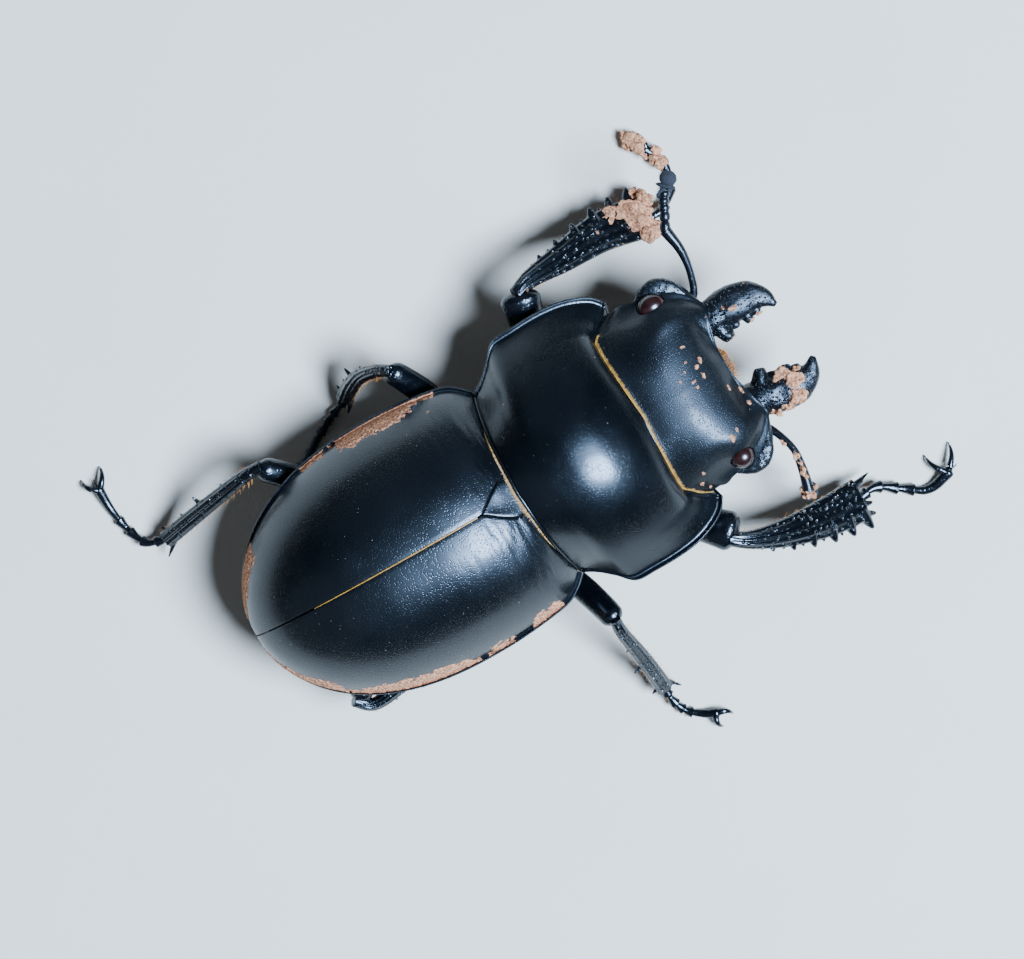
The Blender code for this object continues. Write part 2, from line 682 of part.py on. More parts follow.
def club_leaf(tracks, share, half_sizes):
    """One leaf of the club: an egg set square to the whip."""
    middle = at(*(smooth_value(track, share) for track in tracks))
    before = at(*(smooth_value(track, share - 0.05) for track in tracks))
    along, across, upright = half_sizes
    bm = bmesh.new()
    bmesh.ops.create_uvsphere(bm, u_segments=10, v_segments=7, radius=MM)
    bmesh.ops.scale(bm, vec=Vector((along, across, upright)), verts=bm.verts)
    turn = (middle - before).to_track_quat("X", "Z").to_matrix().to_4x4()
    bmesh.ops.transform(bm, matrix=Matrix.Translation(middle) @ turn, verts=bm.verts)
    return new_object("leaf", bm, (0, 0, 0))


def make_antenna(head, side):
    """An elbowed antenna: the long scape, then the short joints and the leaves of the club."""
    rings = limb_rings(SCAPE[side], SCAPE_WIDTH, SCAPE_WIDTH, 7, 8)
    scape = add_node(f"antenna_{side}_scape", loft(rings), SCAPE[side][0], FORE, "antenna")
    clear_of(scape, head)
    path = WHIP[side]
    beads = [BEAD_THICK[i % 2] for i in range(WHIP_BEADS)]
    rings = limb_rings(path, beads, beads, 7, 20)
    whip = add_node(f"antenna_{side}_whip", loft(rings), path[0], FORE, "antenna")
    tracks = [spread([point[axis] for point in path]) for axis in range(3)]
    fuse(whip, [club_leaf(tracks, share, half_sizes) for share, *half_sizes in CLUB_LEAVES])
    clear_of(whip, scape)


def foot_rings(points, thick):
    """The five joints of a foot, each a small trumpet that widens to its front end."""
    tracks = [spread([point[axis] for point in points]) for axis in range(3)]
    rings = []
    for start, end in zip(FOOT_SHARES, FOOT_SHARES[1:]):
        for step, swell in FOOT_SWELL:
            share = start + (end - start) * step
            middle, before, after = (
                at(*(smooth_value(track, min(max(place, 0), 1)) for track in tracks))
                for place in (share, share - 0.02, share + 0.02)
            )
            ahead = after - before
            across = ahead.cross(Vector((0, 0, 1))).normalized()
            upward = across.cross(ahead).normalized()
            radius = thick * (min(swell, 1) if end == 1 else swell) * MM / 2
            turns = [math.pi * k / 3 for k in range(6)]
            rings.append([middle + (across * math.cos(a) + upward * math.sin(a)) * radius for a in turns])
    return rings


def set_flat(obj):
    """Presses whatever dips below the floor into small flats on it."""
    bpy.context.view_layer.update()
    to_world = obj.matrix_world
    to_local = to_world.inverted()
    for vert in obj.data.vertices:
        place = to_world @ vert.co
        if place.z < 0.02 * MM:
            place.z = 0
            vert.co = to_local @ place


def make_leg(name, leg, hosts):
    """Coxa, femur, toothed tibia and clawed foot of one leg."""
    kind = "front" if name.startswith("front") else "other"
    centre, half_sizes = leg["coxa"]
    coxa = add_node(f"{name}_coxa", ball(centre, half_sizes), centre, BODY)
    clear_of(coxa, *hosts)
    rings = limb_rings(leg["femur"], FEMUR_WIDTH[kind], FEMUR_DEPTH[kind], 8, 9)
    femur = add_node(f"{name}_femur", loft(rings), leg["femur"][0], BODY)
    clear_of(femur, coxa, *hosts)
    rings = limb_rings(leg["tibia"], TIBIA_WIDTH[kind], TIBIA_DEPTH[kind], 8, 10)
    tibia = add_node(f"{name}_tibia", loft(rings), leg["tibia"][0], BODY)
    fuse(tibia, tibia_teeth(leg, kind))
    clear_of(tibia, femur)
    rings = foot_rings(leg["tarsus"], TARSUS_THICK[kind])
    foot = add_node(f"{name}_tarsus", loft(rings), leg["tarsus"][0], BODY)
    fuse(foot, claws(leg))
    clear_of(foot, tibia)
    set_flat(foot)


def tibia_teeth(leg, kind):
    """Outer teeth and the two end spurs of a tibia."""
    tracks = [spread([point[axis] for point in leg["tibia"]]) for axis in range(3)]
    half = spread([width / 2 for width in TIBIA_WIDTH[kind]])
    start, end = at(*leg["tibia"][0]), at(*leg["tibia"][-1])
    ahead = (end - start).normalized()
    outward = ahead.cross(Vector((0, 0, 1))).normalized()
    if kind == "front" and outward.x * at(*leg["coxa"][0]).x < 0:
        outward = -outward
    pieces = []
    for share, length, radius, lean in FRONT_TEETH if kind == "front" else OTHER_TEETH:
        middle = at(*(smooth_value(track, share) for track in tracks))
        reach = smooth_value(half, share) * MM
        tip = middle + outward * (reach + length * MM) + ahead * lean * length * MM
        pieces.append(spike(middle + outward * reach * 0.3, tip, radius))
    inner = end - outward * smooth_value(half, 1) * MM * 0.5
    for forward, inward, radius in SPURS:
        tip = inner + (ahead * forward - outward * inward) * MM
        pieces.append(spike(inner - ahead * 0.6 * MM, tip, radius))
    return pieces


def claws(leg):
    """Two curved claws at the end of a foot."""
    root = at(*leg["tarsus"][-1])
    ahead = (root - at(*leg["tarsus"][-2])).normalized()
    tips = [at(*tip) for tip in leg["claws"]]
    apart = (tips[0] - tips[1]).normalized()
    pieces = []
    for end, side in zip(tips, (apart, -apart)):
        start = root - ahead * CLAW_ROOT * MM + side * CLAW_APART * MM
        knee = (root + end) / 2 + Vector((0, 0, CLAW_ARCH * MM)) + ahead * 0.1 * MM
        sunk = knee - (knee - start).normalized() * 0.3 * MM
        pieces.append(spike(start, knee, CLAW_RADII[0]))
        pieces.append(spike(sunk, end, CLAW_RADII[1]))
    return pieces


def stand_at_origin():
    """Moves the whole beetle so that its box stands centred on the origin."""
    bpy.context.view_layer.update()
    corners = [obj.matrix_world @ Vector(corner) for obj in BEETLE.objects if obj.type == "MESH"
               for corner in obj.bound_box]
    BODY.location.x -= (min(p.x for p in corners) + max(p.x for p in corners)) / 2
    BODY.location.y -= (min(p.y for p in corners) + max(p.y for p in corners)) / 2


def shade(obj):
    """Smooth shading with the real edges kept sharp."""
    obj.data.shade_smooth()
    obj.data.set_sharp_from_angle(angle=math.radians(40))


def main():
    """Builds every node, from the wing cases to the claws."""
    for sign, side in ((1, "left"), (-1, "right")):
        make_elytron(sign, f"elytron_{side}")
    scutellum = make_scutellum()
    for side in ("left", "right"):
        clear_of(bpy.data.objects[f"elytron_{side}"], scutellum)
    make_pronotum()
    under = make_underside()
    head = make_head()
    for side, sign in SIDES:
        make_eyes(head, side, sign)
    for side, sign in SIDES:
        make_mandible(head, side, sign)
        make_antenna(head, side)
    make_mouth(head)
    for name, leg in LEGS.items():
        if name.startswith("front"):
            hosts = [under["prosternum"]]
        elif name.startswith("mid"):
            hosts = [under["thorax_underside"]]
        else:
            hosts = [under["thorax_underside"], under["abdomen"]]
        make_leg(name, leg, hosts)
    for obj in BEETLE.objects:
        if obj.type == "MESH":
            shade(obj)
    stand_at_origin()


for old in list(bpy.data.objects):
    bpy.data.objects.remove(old)
SIDES = (("left", 1), ("right", -1))
BEETLE = bpy.data.collections.new("stag_beetle")
CUTTERS = bpy.data.collections.new("cutters")
CUTTERS.hide_render = True
bpy.context.scene.collection.children.link(BEETLE)
bpy.context.scene.collection.children.link(CUTTERS)
BODY = bpy.data.objects.new("body_origin", None)
FORE = bpy.data.objects.new("fore_body_origin", None)
BEETLE.objects.link(BODY)
BEETLE.objects.link(FORE)
FORE.parent = BODY
FORE.rotation_euler.z = FORE_YAW
main()
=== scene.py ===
# %% [markdown]
# A black stag beetle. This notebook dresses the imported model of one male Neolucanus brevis: black,
# smooth and broad, with short toothed jaws. It walks, with dried mud on its jaws, one front leg
# and its wing cases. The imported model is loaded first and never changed. Each plate and limb is
# modelled again over its solid, finer, because the solids hold only the main forms.

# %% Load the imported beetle
import math
import random

import bmesh
import bpy
from mathutils import Matrix, Vector, noise


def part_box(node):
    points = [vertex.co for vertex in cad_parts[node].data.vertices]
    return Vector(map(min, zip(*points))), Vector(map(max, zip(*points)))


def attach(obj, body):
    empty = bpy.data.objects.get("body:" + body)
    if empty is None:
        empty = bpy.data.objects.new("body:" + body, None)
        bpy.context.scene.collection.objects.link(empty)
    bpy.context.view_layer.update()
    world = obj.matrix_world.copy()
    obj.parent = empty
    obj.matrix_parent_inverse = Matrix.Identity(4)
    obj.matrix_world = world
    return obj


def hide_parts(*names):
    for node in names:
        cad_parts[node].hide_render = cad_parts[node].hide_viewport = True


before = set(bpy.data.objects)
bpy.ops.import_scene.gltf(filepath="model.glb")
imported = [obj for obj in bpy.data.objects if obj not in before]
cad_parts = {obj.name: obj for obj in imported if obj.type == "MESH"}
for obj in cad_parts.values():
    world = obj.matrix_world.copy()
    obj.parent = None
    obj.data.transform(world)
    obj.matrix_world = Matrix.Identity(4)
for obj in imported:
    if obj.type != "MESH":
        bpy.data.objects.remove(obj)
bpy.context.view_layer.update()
MM = 0.001

# %% [markdown]
# Body coordinates. A beetle is easiest to describe along its own length: f forward from the hind
# corners of the pronotum, v to its left and z up from the floor, in millimetres. The head looks
# along -Y. The scutellum sits on the middle line at a known f, so its box says where f = 0 lies.
# The head and pronotum are turned a little to the left, as the beetle holds them.

# %% Body coordinates
SCUTELLUM_REAR_F = -3.3
FORE_YAW = math.radians(1.9)
shield_low, shield_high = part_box("scutellum")
ORIGIN = Vector(((shield_low.x + shield_high.x) / 2, shield_high.y + SCUTELLUM_REAR_F * MM, 0))
YAW = Matrix.Rotation(FORE_YAW, 3, "Z")
SIDES = (("left", 1), ("right", -1))


def body(f, v, z):
    """Place of a point of the hind body, the legs and the thorax."""
    return ORIGIN + Vector((v, -f, z)) * MM


def fore(f, v, z):
    """Place of a point of the head and pronotum, turned to the left about f = 0."""
    return ORIGIN + YAW @ (Vector((v, -f, z)) * MM)


def show(name, data):
    """Puts a loose mesh, a light or a camera into the scene."""
    if isinstance(data, bmesh.types.BMesh):
        mesh = bpy.data.meshes.new(name)
        data.to_mesh(mesh)
        data.free()
        data = mesh
    obj = bpy.data.objects.new(name, data)
    bpy.context.scene.collection.objects.link(obj)
    return obj


print("hind corner line at", [round(c / MM, 2) for c in ORIGIN])

# %% [markdown]
# The camera looks almost straight down, from slightly over the beetle's left side, from about
# 26 cm away as for a close portrait. A long lens keeps the legs in proportion. The beetle walks
# toward the picture's upper right, so the picture's axes are turned 29.5 degrees from its own.

# %% Camera
PICTURE_TURN = math.radians(29.5)
LEAN_LEFT = math.radians(3.5)
CAMERA_AWAY = 260.0
PIXELS_PER_MM = 16.3
PICTURE_WIDTH = 1024
SENSOR = 36.0
CAMERA_PLACE = (-0.78, 16.53, 266.07)
back = Vector((math.tan(LEAN_LEFT), 0, 1)).normalized()
heading = Vector((0, -1, 0)) * math.cos(PICTURE_TURN) - Vector((1, 0, 0)) * math.sin(PICTURE_TURN)
right = (heading - back * heading.dot(back)).normalized()
upward = back.cross(right)
camera_data = bpy.data.cameras.new("portrait_camera")
camera_data.sensor_width = SENSOR
camera_data.sensor_fit = "HORIZONTAL"
camera_data.lens = PIXELS_PER_MM * CAMERA_AWAY * SENSOR / PICTURE_WIDTH
camera_data.clip_start = 5 * MM
camera = show("portrait_camera", camera_data)
turn = Matrix((right, upward, back)).transposed().to_4x4()
camera.matrix_world = Matrix.Translation(body(*CAMERA_PLACE)) @ turn
bpy.context.scene.camera = camera
print("lens", round(camera_data.lens, 1), "mm")

# %% [markdown]
# Shapes by rule. Every plate and limb is one closed sleeve: a flat grid of faces is bent so that
# its columns run once round the section and its rows run along the part, then the seam is joined
# and the ends are filled. One rule per part says where each point of the sleeve lies. Hairs are
# thin cones, and a map called OFBake gives each one a patch at its root's place for its colour.

# %% Smooth curves


def smooth_value(table, x):
    """Value at x from (x, value) pairs, by a cubic that passes through each pair."""
    last = len(table) - 1
    x = min(max(x, table[0][0]), table[last][0])
    i = next((k for k in range(last) if x <= table[k + 1][0]), last - 1)
    slopes = []
    for k in (i, i + 1):
        low, high = max(k - 1, 0), min(k + 1, last)
        slopes.append((table[high][1] - table[low][1]) / (table[high][0] - table[low][0]))
    span = table[i + 1][0] - table[i][0]
    t = (x - table[i][0]) / span
    return (
        table[i][1] * (2 * t**3 - 3 * t**2 + 1)
        + slopes[0] * span * (t**3 - 2 * t**2 + t)
        + table[i + 1][1] * (3 * t**2 - 2 * t**3)
        + slopes[1] * span * (t**3 - t**2)
    )


def curve(values):
    """A rule that runs smoothly through values spread evenly over 0 to 1."""
    table = tuple((i / (len(values) - 1), value) for i, value in enumerate(values))
    return lambda x: smooth_value(table, x)


def plateau(x, low, high, soft):
    """1 between low and high, falling to 0 over the soft width on each side."""
    rise = min(max((x - low) / soft + 1, 0), 1)
    fall = min(max((high - x) / soft + 1, 0), 1)
    return (rise * fall) ** 2 * (3 - 2 * rise * fall)


def bump(x, middle, width):
    """A smooth hump of height 1 and about twice the given width."""
    return math.exp(-(((x - middle) / width) ** 2))


print("curve tools ready")

# %% Sleeves
# Points closer than this, in metres, are joined along the seam of a sleeve
SEAM_JOIN = 2e-7


def ring(c):
    """Cosine and sine at a share c of a full turn."""
    angle = 2 * math.pi * c
    return math.cos(angle), math.sin(angle)


def flat_grid(along, around):
    """A flat grid, and for each of its points the shares along it and across it, both 0 to 1."""
    bm = bmesh.new()
    bmesh.ops.create_grid(bm, x_segments=around, y_segments=along, size=0.5)
    shares = [[min(max(side + 0.5, 0), 1) for side in (vert.co.y, vert.co.x)] for vert in bm.verts]
    return bm, shares


def sleeve(place, along, around, target=None):
    """A closed sleeve: place(s, c) gives the point at s along it and c round it, both 0 to 1."""
    bm, shares = flat_grid(along, around)
    for vert, (s, c) in zip(bm.verts, shares):
        vert.co = place(s, c)
    bmesh.ops.remove_doubles(bm, verts=bm.verts, dist=SEAM_JOIN)
    ends = [edge for edge in bm.edges if edge.is_boundary]
    bmesh.ops.holes_fill(bm, edges=ends, sides=0)
    return merge(bm, target)


def merge(bm, target):
    """Adds a loose mesh to another and returns the whole."""
    bmesh.ops.recalc_face_normals(bm, faces=bm.faces)
    if target is None:
        return bm
    mesh = bpy.data.meshes.new("loose")
    bm.to_mesh(mesh)
    bm.free()
    target.from_mesh(mesh)
    bpy.data.meshes.remove(mesh)
    return target


print("sleeve tools ready")

# %% Limbs, spines and teeth


def through(tracks):
    """Points from the f, the v and the z that a path passes through."""
    return list(zip(*tracks))


def along_path(points):
    """Smooth place in body millimetres at a share s of the way along a list of points."""
    tracks = [curve([point[axis] for point in points]) for axis in range(3)]
    return lambda s: tuple(track(s) for track in tracks)


def limb_place(points, width, depth, frame_at=body, square=2.0, ridge=None):
    """Rule for a limb along a path: its width lies level and its depth stands upright."""
    path = along_path(points)

    def place(s, c):
        middle = frame_at(*path(s))
        ahead = frame_at(*path(min(1, s + 0.02))) - frame_at(*path(max(0, s - 0.02)))
        across = ahead.cross(Vector((0, 0, 1))).normalized()
        upright = across.cross(ahead).normalized()
        x, y = ring(c)
        bulge = (abs(x) ** square + abs(y) ** square) ** (-1 / square)
        if ridge:
            y *= ridge(s, x * bulge)
        half_width = width(s) * MM / 2
        half_depth = depth(s) * MM / 2
        return middle + across * x * half_width * bulge + upright * y * half_depth * bulge

    return place


def horn(root, tip, radius, target, bend=(0, 0, 0), sides=10, along=8, point=0.12):
    """A curved spine, tooth or claw from root to tip, both places in metres."""
    start, end = Vector(root), Vector(tip)
    middle = (start + end) / 2 + Vector(bend) * MM

    def place(s, c):
        spot = start * (1 - s) ** 2 + middle * 2 * s * (1 - s) + end * s**2
        ahead = (middle - start) * (1 - s) + (end - middle) * s
        across = ahead.orthogonal().normalized()
        other = ahead.cross(across).normalized()
        thick = radius * MM * (point + (1 - point) * (1 - s) ** 0.75)
        x, y = ring(c)
        return spot + (across * x + other * y) * thick

    return sleeve(place, along, sides, target)


print("limb tools ready")

# %% Fused, cut and rough skins


def in_millimetres(bm, name):
    """Turns a loose mesh into an object measured in millimetres, ready for modifiers."""
    bmesh.ops.scale(bm, vec=Vector((1, 1, 1)) / MM, verts=bm.verts)
    return show(name, bm)


def modified(objects):
    """The first object's mesh after its modifiers, in metres again. All objects are removed."""
    graph = bpy.context.evaluated_depsgraph_get()
    skin = bpy.data.meshes.new_from_object(objects[0].evaluated_get(graph))
    out = bmesh.new()
    out.from_mesh(skin)
    bmesh.ops.scale(out, vec=Vector((MM, MM, MM)), verts=out.verts)
    for obj in objects:
        bpy.data.objects.remove(obj)
    bpy.data.meshes.remove(skin)
    return out


def melt(bm, cell, rounds):
    """Fuses overlapping shapes into one skin of small even faces, softened at the joins."""
    obj = in_millimetres(bm, "melt")
    step = obj.modifiers.new("skin", "REMESH")
    step.mode = "VOXEL"
    step.voxel_size = cell
    soft = obj.modifiers.new("soft", "SMOOTH")
    soft.factor = 0.5
    soft.iterations = rounds
    return modified([obj])


def carve(bm, tools):
    """Cuts closed tool meshes out of a closed mesh."""
    for loose in [bm] + tools:
        bmesh.ops.recalc_face_normals(loose, faces=loose.faces)
    objects = [in_millimetres(loose, "carve") for loose in [bm] + tools]
    for tool in objects[1:]:
        step = objects[0].modifiers.new("carve", "BOOLEAN")
        step.operation = "DIFFERENCE"
        step.solver = "MANIFOLD"
        step.object = tool
    return modified(objects)


def rough(bm, size, height, seed):
    """Pushes points in and out by a noise with lumps of the given size, both in millimetres."""
    bm.normal_update()
    offset = Vector((seed, -seed, seed * 0.5))
    for vert in bm.verts:
        vert.co += vert.normal * noise.noise(vert.co / (size * MM) + offset) * height * MM


print("skin tools ready")

# %% Shown pieces
# Width of a hair's patch on the map for baked colours
HAIR_PATCH = 0.003
# Edges bent more than this stay sharp
SHARP_ANGLE = math.radians(55)
PIECES = []


def bake_map(bm, spots):
    """Map for baked colours: each hair fills a small patch at its root's place on the skin."""
    layer = bm.loops.layers.uv.new("OFBake")
    each = len(bm.faces) // len(spots)
    for index, face in enumerate(bm.faces):
        u, v = spots[index // each]
        for corner, loop in enumerate(face.loops):
            x, y = ring(corner / len(face.loops))
            loop[layer].uv = (u + HAIR_PATCH / 2 * x, v + HAIR_PATCH / 2 * y)
    print(len(spots), "hairs of", each, "faces")


def piece(name, bm, material, slot, nodes=()):
    """Turns a loose mesh into a shown piece that rides on the body and stands for its solids."""
    bmesh.ops.recalc_face_normals(bm, faces=bm.faces)
    for face in bm.faces:
        face.smooth = True
    obj = show(name, bm)
    obj.data.materials.append(material)
    obj.data.set_sharp_from_angle(angle=SHARP_ANGLE)
    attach(obj, "root")
    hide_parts(*nodes)
    PIECES.append(obj)
    print(name, len(obj.data.polygons), "faces")


print("piece tool ready")

# %% [markdown]
# Materials. The cuticle is black chitin under a thin waxy layer. It mirrors the sky softly, in
# blue-grey, because its surface is finely granulated. Pits about a tenth of a millimetre wide,
# fine scratches and pale dust break the shine. Each pattern is scaled from its real size.

# %% Material tools


def linear(code):
    """Linear colour from a six-digit screen colour."""
    parts = [int(code[i : i + 2], 16) / 255 for i in (1, 3, 5)]
    return (*(p / 12.92 if p <= 0.04045 else ((p + 0.055) / 1.055) ** 2.4 for p in parts), 1.0)


def new_tree(name):
    """An empty material with its node tree and main shader."""
    material = bpy.data.materials.new(name)
    material.use_nodes = True
    tree = material.node_tree
    return material, tree, tree.nodes["Principled BSDF"]


def add(tree, kind, values=None, **settings):
    """Adds a node, with its settings and the values of its inputs."""
    node = tree.nodes.new("ShaderNode" + kind)
    for key, value in settings.items():
        setattr(node, key, value)
    join(tree, node, values or {})
    return node


def join(tree, node, values):
    """Fills inputs by name or number: a socket, or a node's first output, is linked."""
    for key, value in values.items():
        if isinstance(value, bpy.types.Node):
            value = value.outputs[0]
        if isinstance(value, bpy.types.NodeSocket):
            tree.links.new(value, node.inputs[key])
        else:
            node.inputs[key].default_value = value


def object_place(tree):
    """Object coordinates in metres."""
    return add(tree, "TexCoord").outputs["Object"]


def speck_mask(tree, place, spacing, share, seed):
    """Scattered specks: one per cell of the given spacing in millimetres, in random sizes."""
    size = spacing * MM
    moved = add(tree, "VectorMath", {0: place, 1: (seed, seed, seed)}, operation="ADD")
    wobble = add(tree, "TexNoise", {"Vector": moved, "Scale": 2.2 / size, "Detail": 2.0})
    shift = {0: wobble.outputs["Color"], "Scale": size * 0.5}
    shift = add(tree, "VectorMath", shift, operation="SCALE")
    bent = add(tree, "VectorMath", {0: moved, 1: shift}, operation="ADD")
    cells = add(tree, "TexVoronoi", {"Vector": bent, "Scale": 1 / size, "Randomness": 1.0})
    pick = add(tree, "SeparateColor", {0: cells.outputs["Color"]})
    reach = add(tree, "MapRange", {"Value": pick, 1: 1 - share, 2: 1.0, 3: 0.0, 4: 0.22})
    left = add(tree, "Math", {0: reach, 1: cells}, operation="SUBTRACT")
    return add(tree, "MapRange", {"Value": left, 1: 0.0, 2: 0.05})


# The waxy layer tints what it mirrors a little blue
SHEEN = "#E4F1FF"
DUST = "#8A7868"
CLAY = "#BC8460"


def cuticle(
    name, base, roughness, pit_mm, pit_depth, dust, flake=0.0, coat=0.15, grain=0.2, scratch=0.0
):
    """Black chitin with pits, scratches, dust and flakes of clay. Pit sizes are millimetres."""
    material, tree, shader = new_tree(name)
    place = object_place(tree)
    # Patches about 3 mm across are a little duller or brighter
    patches = add(tree, "TexNoise", {"Vector": place, "Scale": 1 / (3 * MM), "Detail": 4.0})
    dull = {"Value": patches, 1: 0.3, 2: 0.7, 3: roughness * 0.85, 4: roughness * 1.2}
    dull = add(tree, "MapRange", dull)
    # Pits
    pits = {"Vector": place, "Scale": 1 / (pit_mm * MM), "Randomness": 0.9}
    pits = add(tree, "TexVoronoi", pits)
    pit = add(tree, "MapRange", {"Value": pits, 1: 0.12, 2: 0.38, 3: 0.0, 4: 1.0})
    # Grain about 0.05 mm across
    fine = add(tree, "TexNoise", {"Vector": place, "Scale": 1 / (0.05 * MM), "Detail": 3.0})
    lumps = add(tree, "Math", {0: fine, 1: grain}, operation="MULTIPLY")
    relief = add(tree, "Math", {0: pit, 1: lumps}, operation="ADD")
    # Scratches: borders of bent cells 2.5 mm wide, kept only here and there
    bend = add(tree, "TexNoise", {"Vector": place, "Scale": 1 / (6 * MM), "Detail": 1.0})
    bend = {0: bend.outputs["Color"], "Scale": 3 * MM}
    bend = add(tree, "VectorMath", bend, operation="SCALE")
    bent = add(tree, "VectorMath", {0: place, 1: bend}, operation="ADD")
    cells = {"Vector": bent, "Scale": 1 / (2.5 * MM)}
    cells = add(tree, "TexVoronoi", cells, feature="DISTANCE_TO_EDGE")
    line = add(tree, "MapRange", {"Value": cells, 1: 0.0, 2: 0.010, 3: 1.0, 4: 0.0})
    some = add(tree, "TexNoise", {"Vector": place, "Scale": 1 / (1.8 * MM), "Detail": 1.0})
    kept = add(tree, "MapRange", {"Value": some, 1: 0.56, 2: 0.60, 3: 0.0, 4: scratch})
    mark = add(tree, "Math", {0: line, 1: kept}, operation="MULTIPLY")
    relief = add(tree, "Math", {0: relief, 1: mark}, operation="SUBTRACT")
    hollow = add(tree, "Bump", {"Height": relief, "Distance": pit_depth * MM, "Strength": 1.0})
    # Dust: brown flakes up to 0.35 mm across where it lies thick, and fine specks between
    thick = add(tree, "TexNoise", {"Vector": place, "Scale": 1 / (4 * MM), "Detail": 3.0})
    cover = add(tree, "MapRange", {"Value": thick, 1: 0.40, 2: 0.65, 3: 0.1, 4: 1.0})
    flaky, dusty = (
        add(
            tree, "Math", {0: speck_mask(tree, place, spacing, share, seed), 1: cover},
            operation="MULTIPLY", use_clamp=True,
        )
        for spacing, share, seed in ((0.85, flake, 0.0), (0.17, dust, 0.013))
    )
    tint = {"Factor": dusty, 6: linear(base), 7: linear(DUST)}
    tint = add(tree, "Mix", tint, data_type="RGBA")
    clay = {"Factor": flaky, 6: tint.outputs[2], 7: linear(CLAY)}
    clay = add(tree, "Mix", clay, data_type="RGBA")
    speck = add(tree, "Math", {0: flaky, 1: dusty}, operation="MAXIMUM")
    matt = add(tree, "Mix", {"Factor": speck, 2: dull, 3: 0.85}, data_type="FLOAT")
    join(tree, shader, {
        "Base Color": clay.outputs[2], "Normal": hollow, "Coat Normal": hollow,
        "Roughness": matt, "Coat Weight": coat, "Coat Roughness": 0.12,
        "Specular IOR Level": 0.47, "IOR": 1.5, "Specular Tint": linear(SHEEN),
    })
    return material


def plain(name, colour, roughness, other, size, contrast=0.5, relief=0.01):
    """A simpler surface: two mixed colours in patches of the given size in mm, with fine relief."""
    material, tree, shader = new_tree(name)
    place = object_place(tree)
    patches = add(tree, "TexNoise", {"Vector": place, "Scale": 1 / (size * MM), "Detail": 5.0})
    share = {"Value": patches, 1: 0.5 - contrast / 2, 2: 0.5 + contrast / 2}
    share = add(tree, "MapRange", share)
    tint = {"Factor": share, 6: linear(colour), 7: linear(other)}
    tint = add(tree, "Mix", tint, data_type="RGBA").outputs[2]
    surface = add(tree, "Bump", {"Height": patches, "Distance": relief * MM})
    join(tree, shader, {"Base Color": tint, "Normal": surface, "Roughness": roughness})
    return material


def eye_material():
    """Dark red-brown glassy eye, with its fine facets about 0.03 mm across."""
    material, tree, shader = new_tree("eye_glass")
    place = object_place(tree)
    facets = {"Vector": place, "Scale": 1 / (0.035 * MM), "Randomness": 0.3}
    facets = add(tree, "TexVoronoi", facets)
    surface = add(tree, "Bump", {"Height": facets, "Distance": 0.001 * MM})
    depth = add(tree, "TexNoise", {"Vector": place, "Scale": 1 / (0.5 * MM), "Detail": 2.0})
    tint = {"Factor": depth, 6: linear("#0B0303"), 7: linear("#2E0E0B")}
    tint = add(tree, "Mix", tint, data_type="RGBA").outputs[2]
    join(tree, shader, {"Base Color": tint, "Normal": surface, "Roughness": 0.28})
    join(tree, shader, {"Coat Weight": 0.4, "Coat Roughness": 0.08})
    return material


print("material tools ready")

# %% Materials
# Name, colour, roughness, pit spacing and depth in mm, and shares of dust and of flakes
WING_SKIN = cuticle("wing_case_cuticle", "#040608", 0.31, 0.15, 0.0065, 0.12, 0.05, scratch=0.35)
SHIELD_SKIN = cuticle("pronotum_cuticle", "#030507", 0.27, 0.13, 0.005, 0.06, 0.06, scratch=0.6)
HEAD_SKIN = cuticle("head_cuticle", "#030507", 0.41, 0.12, 0.008, 0.07, 0.16, scratch=0.3)
PITTED_SKIN = cuticle("canthus_cuticle", "#030508", 0.33, 0.17, 0.070, 0.05, 0.12, coat=0.3)
HORN_SKIN = cuticle("mandible_cuticle", "#040508", 0.30, 0.20, 0.075, 0.08, 0.40, coat=0.2)
LEG_SKIN = cuticle("leg_cuticle", "#030508", 0.24, 0.20, 0.010, 0.04, 0.03, coat=0.3)
SHIN_SKIN = cuticle("tibia_cuticle", "#030508", 0.24, 0.34, 0.070, 0.03, 0.05, 0.3, 0.05)
BELLY_SKIN = cuticle("underside_cuticle", "#060709", 0.38, 0.22, 0.020, 0.08)
FEELER_SKIN = cuticle("antenna_cuticle", "#060609", 0.30, 0.12, 0.008, 0.06)
# Name, colour, roughness, other colour and size of the patches in mm
VELVET = plain("antenna_velvet", "#2C2D33", 0.95, "#17181C", 0.08, relief=0.02)
BRISTLE = plain("orange_bristle", "#9A5A1E", 0.5, "#D98B3C", 0.4)
GOLD = plain("golden_fringe", "#7A4F18", 0.45, "#C48F38", 0.3)
MUD = plain("dried_mud", "#7A4C32", 0.95, "#E29C70", 0.16, 0.30, 0.08)
EYE_GLASS = eye_material()
print(len(bpy.data.materials), "materials")

# %% [markdown]
# Scutellum. The small three-cornered shield between the bases of the wing cases is part of the
# thorax. It is nearly flat, slightly hollow and a touch glossier than the wing cases.

# %% Scutellum
SCUTELLUM_TOP = ((-3.3, 11.76), (-2.6, 11.60), (-1.9, 11.40), (-1.2, 11.10))


def scutellum_half(f):
    """Half width of the shield at f millimetres."""
    return 1.25 * max(0, 1 - ((-1.5 - f) / 1.8) ** 1.25) if f < -1.5 else 1.25


def scutellum_place(s, c):
    """Rule for the shield: wide in front, pointed behind, level with the wing cases."""
    f = -1.2 - 2.1 * s
    half = scutellum_half(f) + 0.015
    x, y = ring(c)
    box = (abs(x) ** 5 + abs(y) ** 5) ** (-0.2)
    hollow = 0.10 * (1 - (x * box) ** 2) * math.sin(math.pi * min(1, s * 1.1))
    z = smooth_value(SCUTELLUM_TOP, f) - 0.25 + 0.25 * y * box - (hollow if y > 0 else 0)
    return body(f, half * x * box, z)


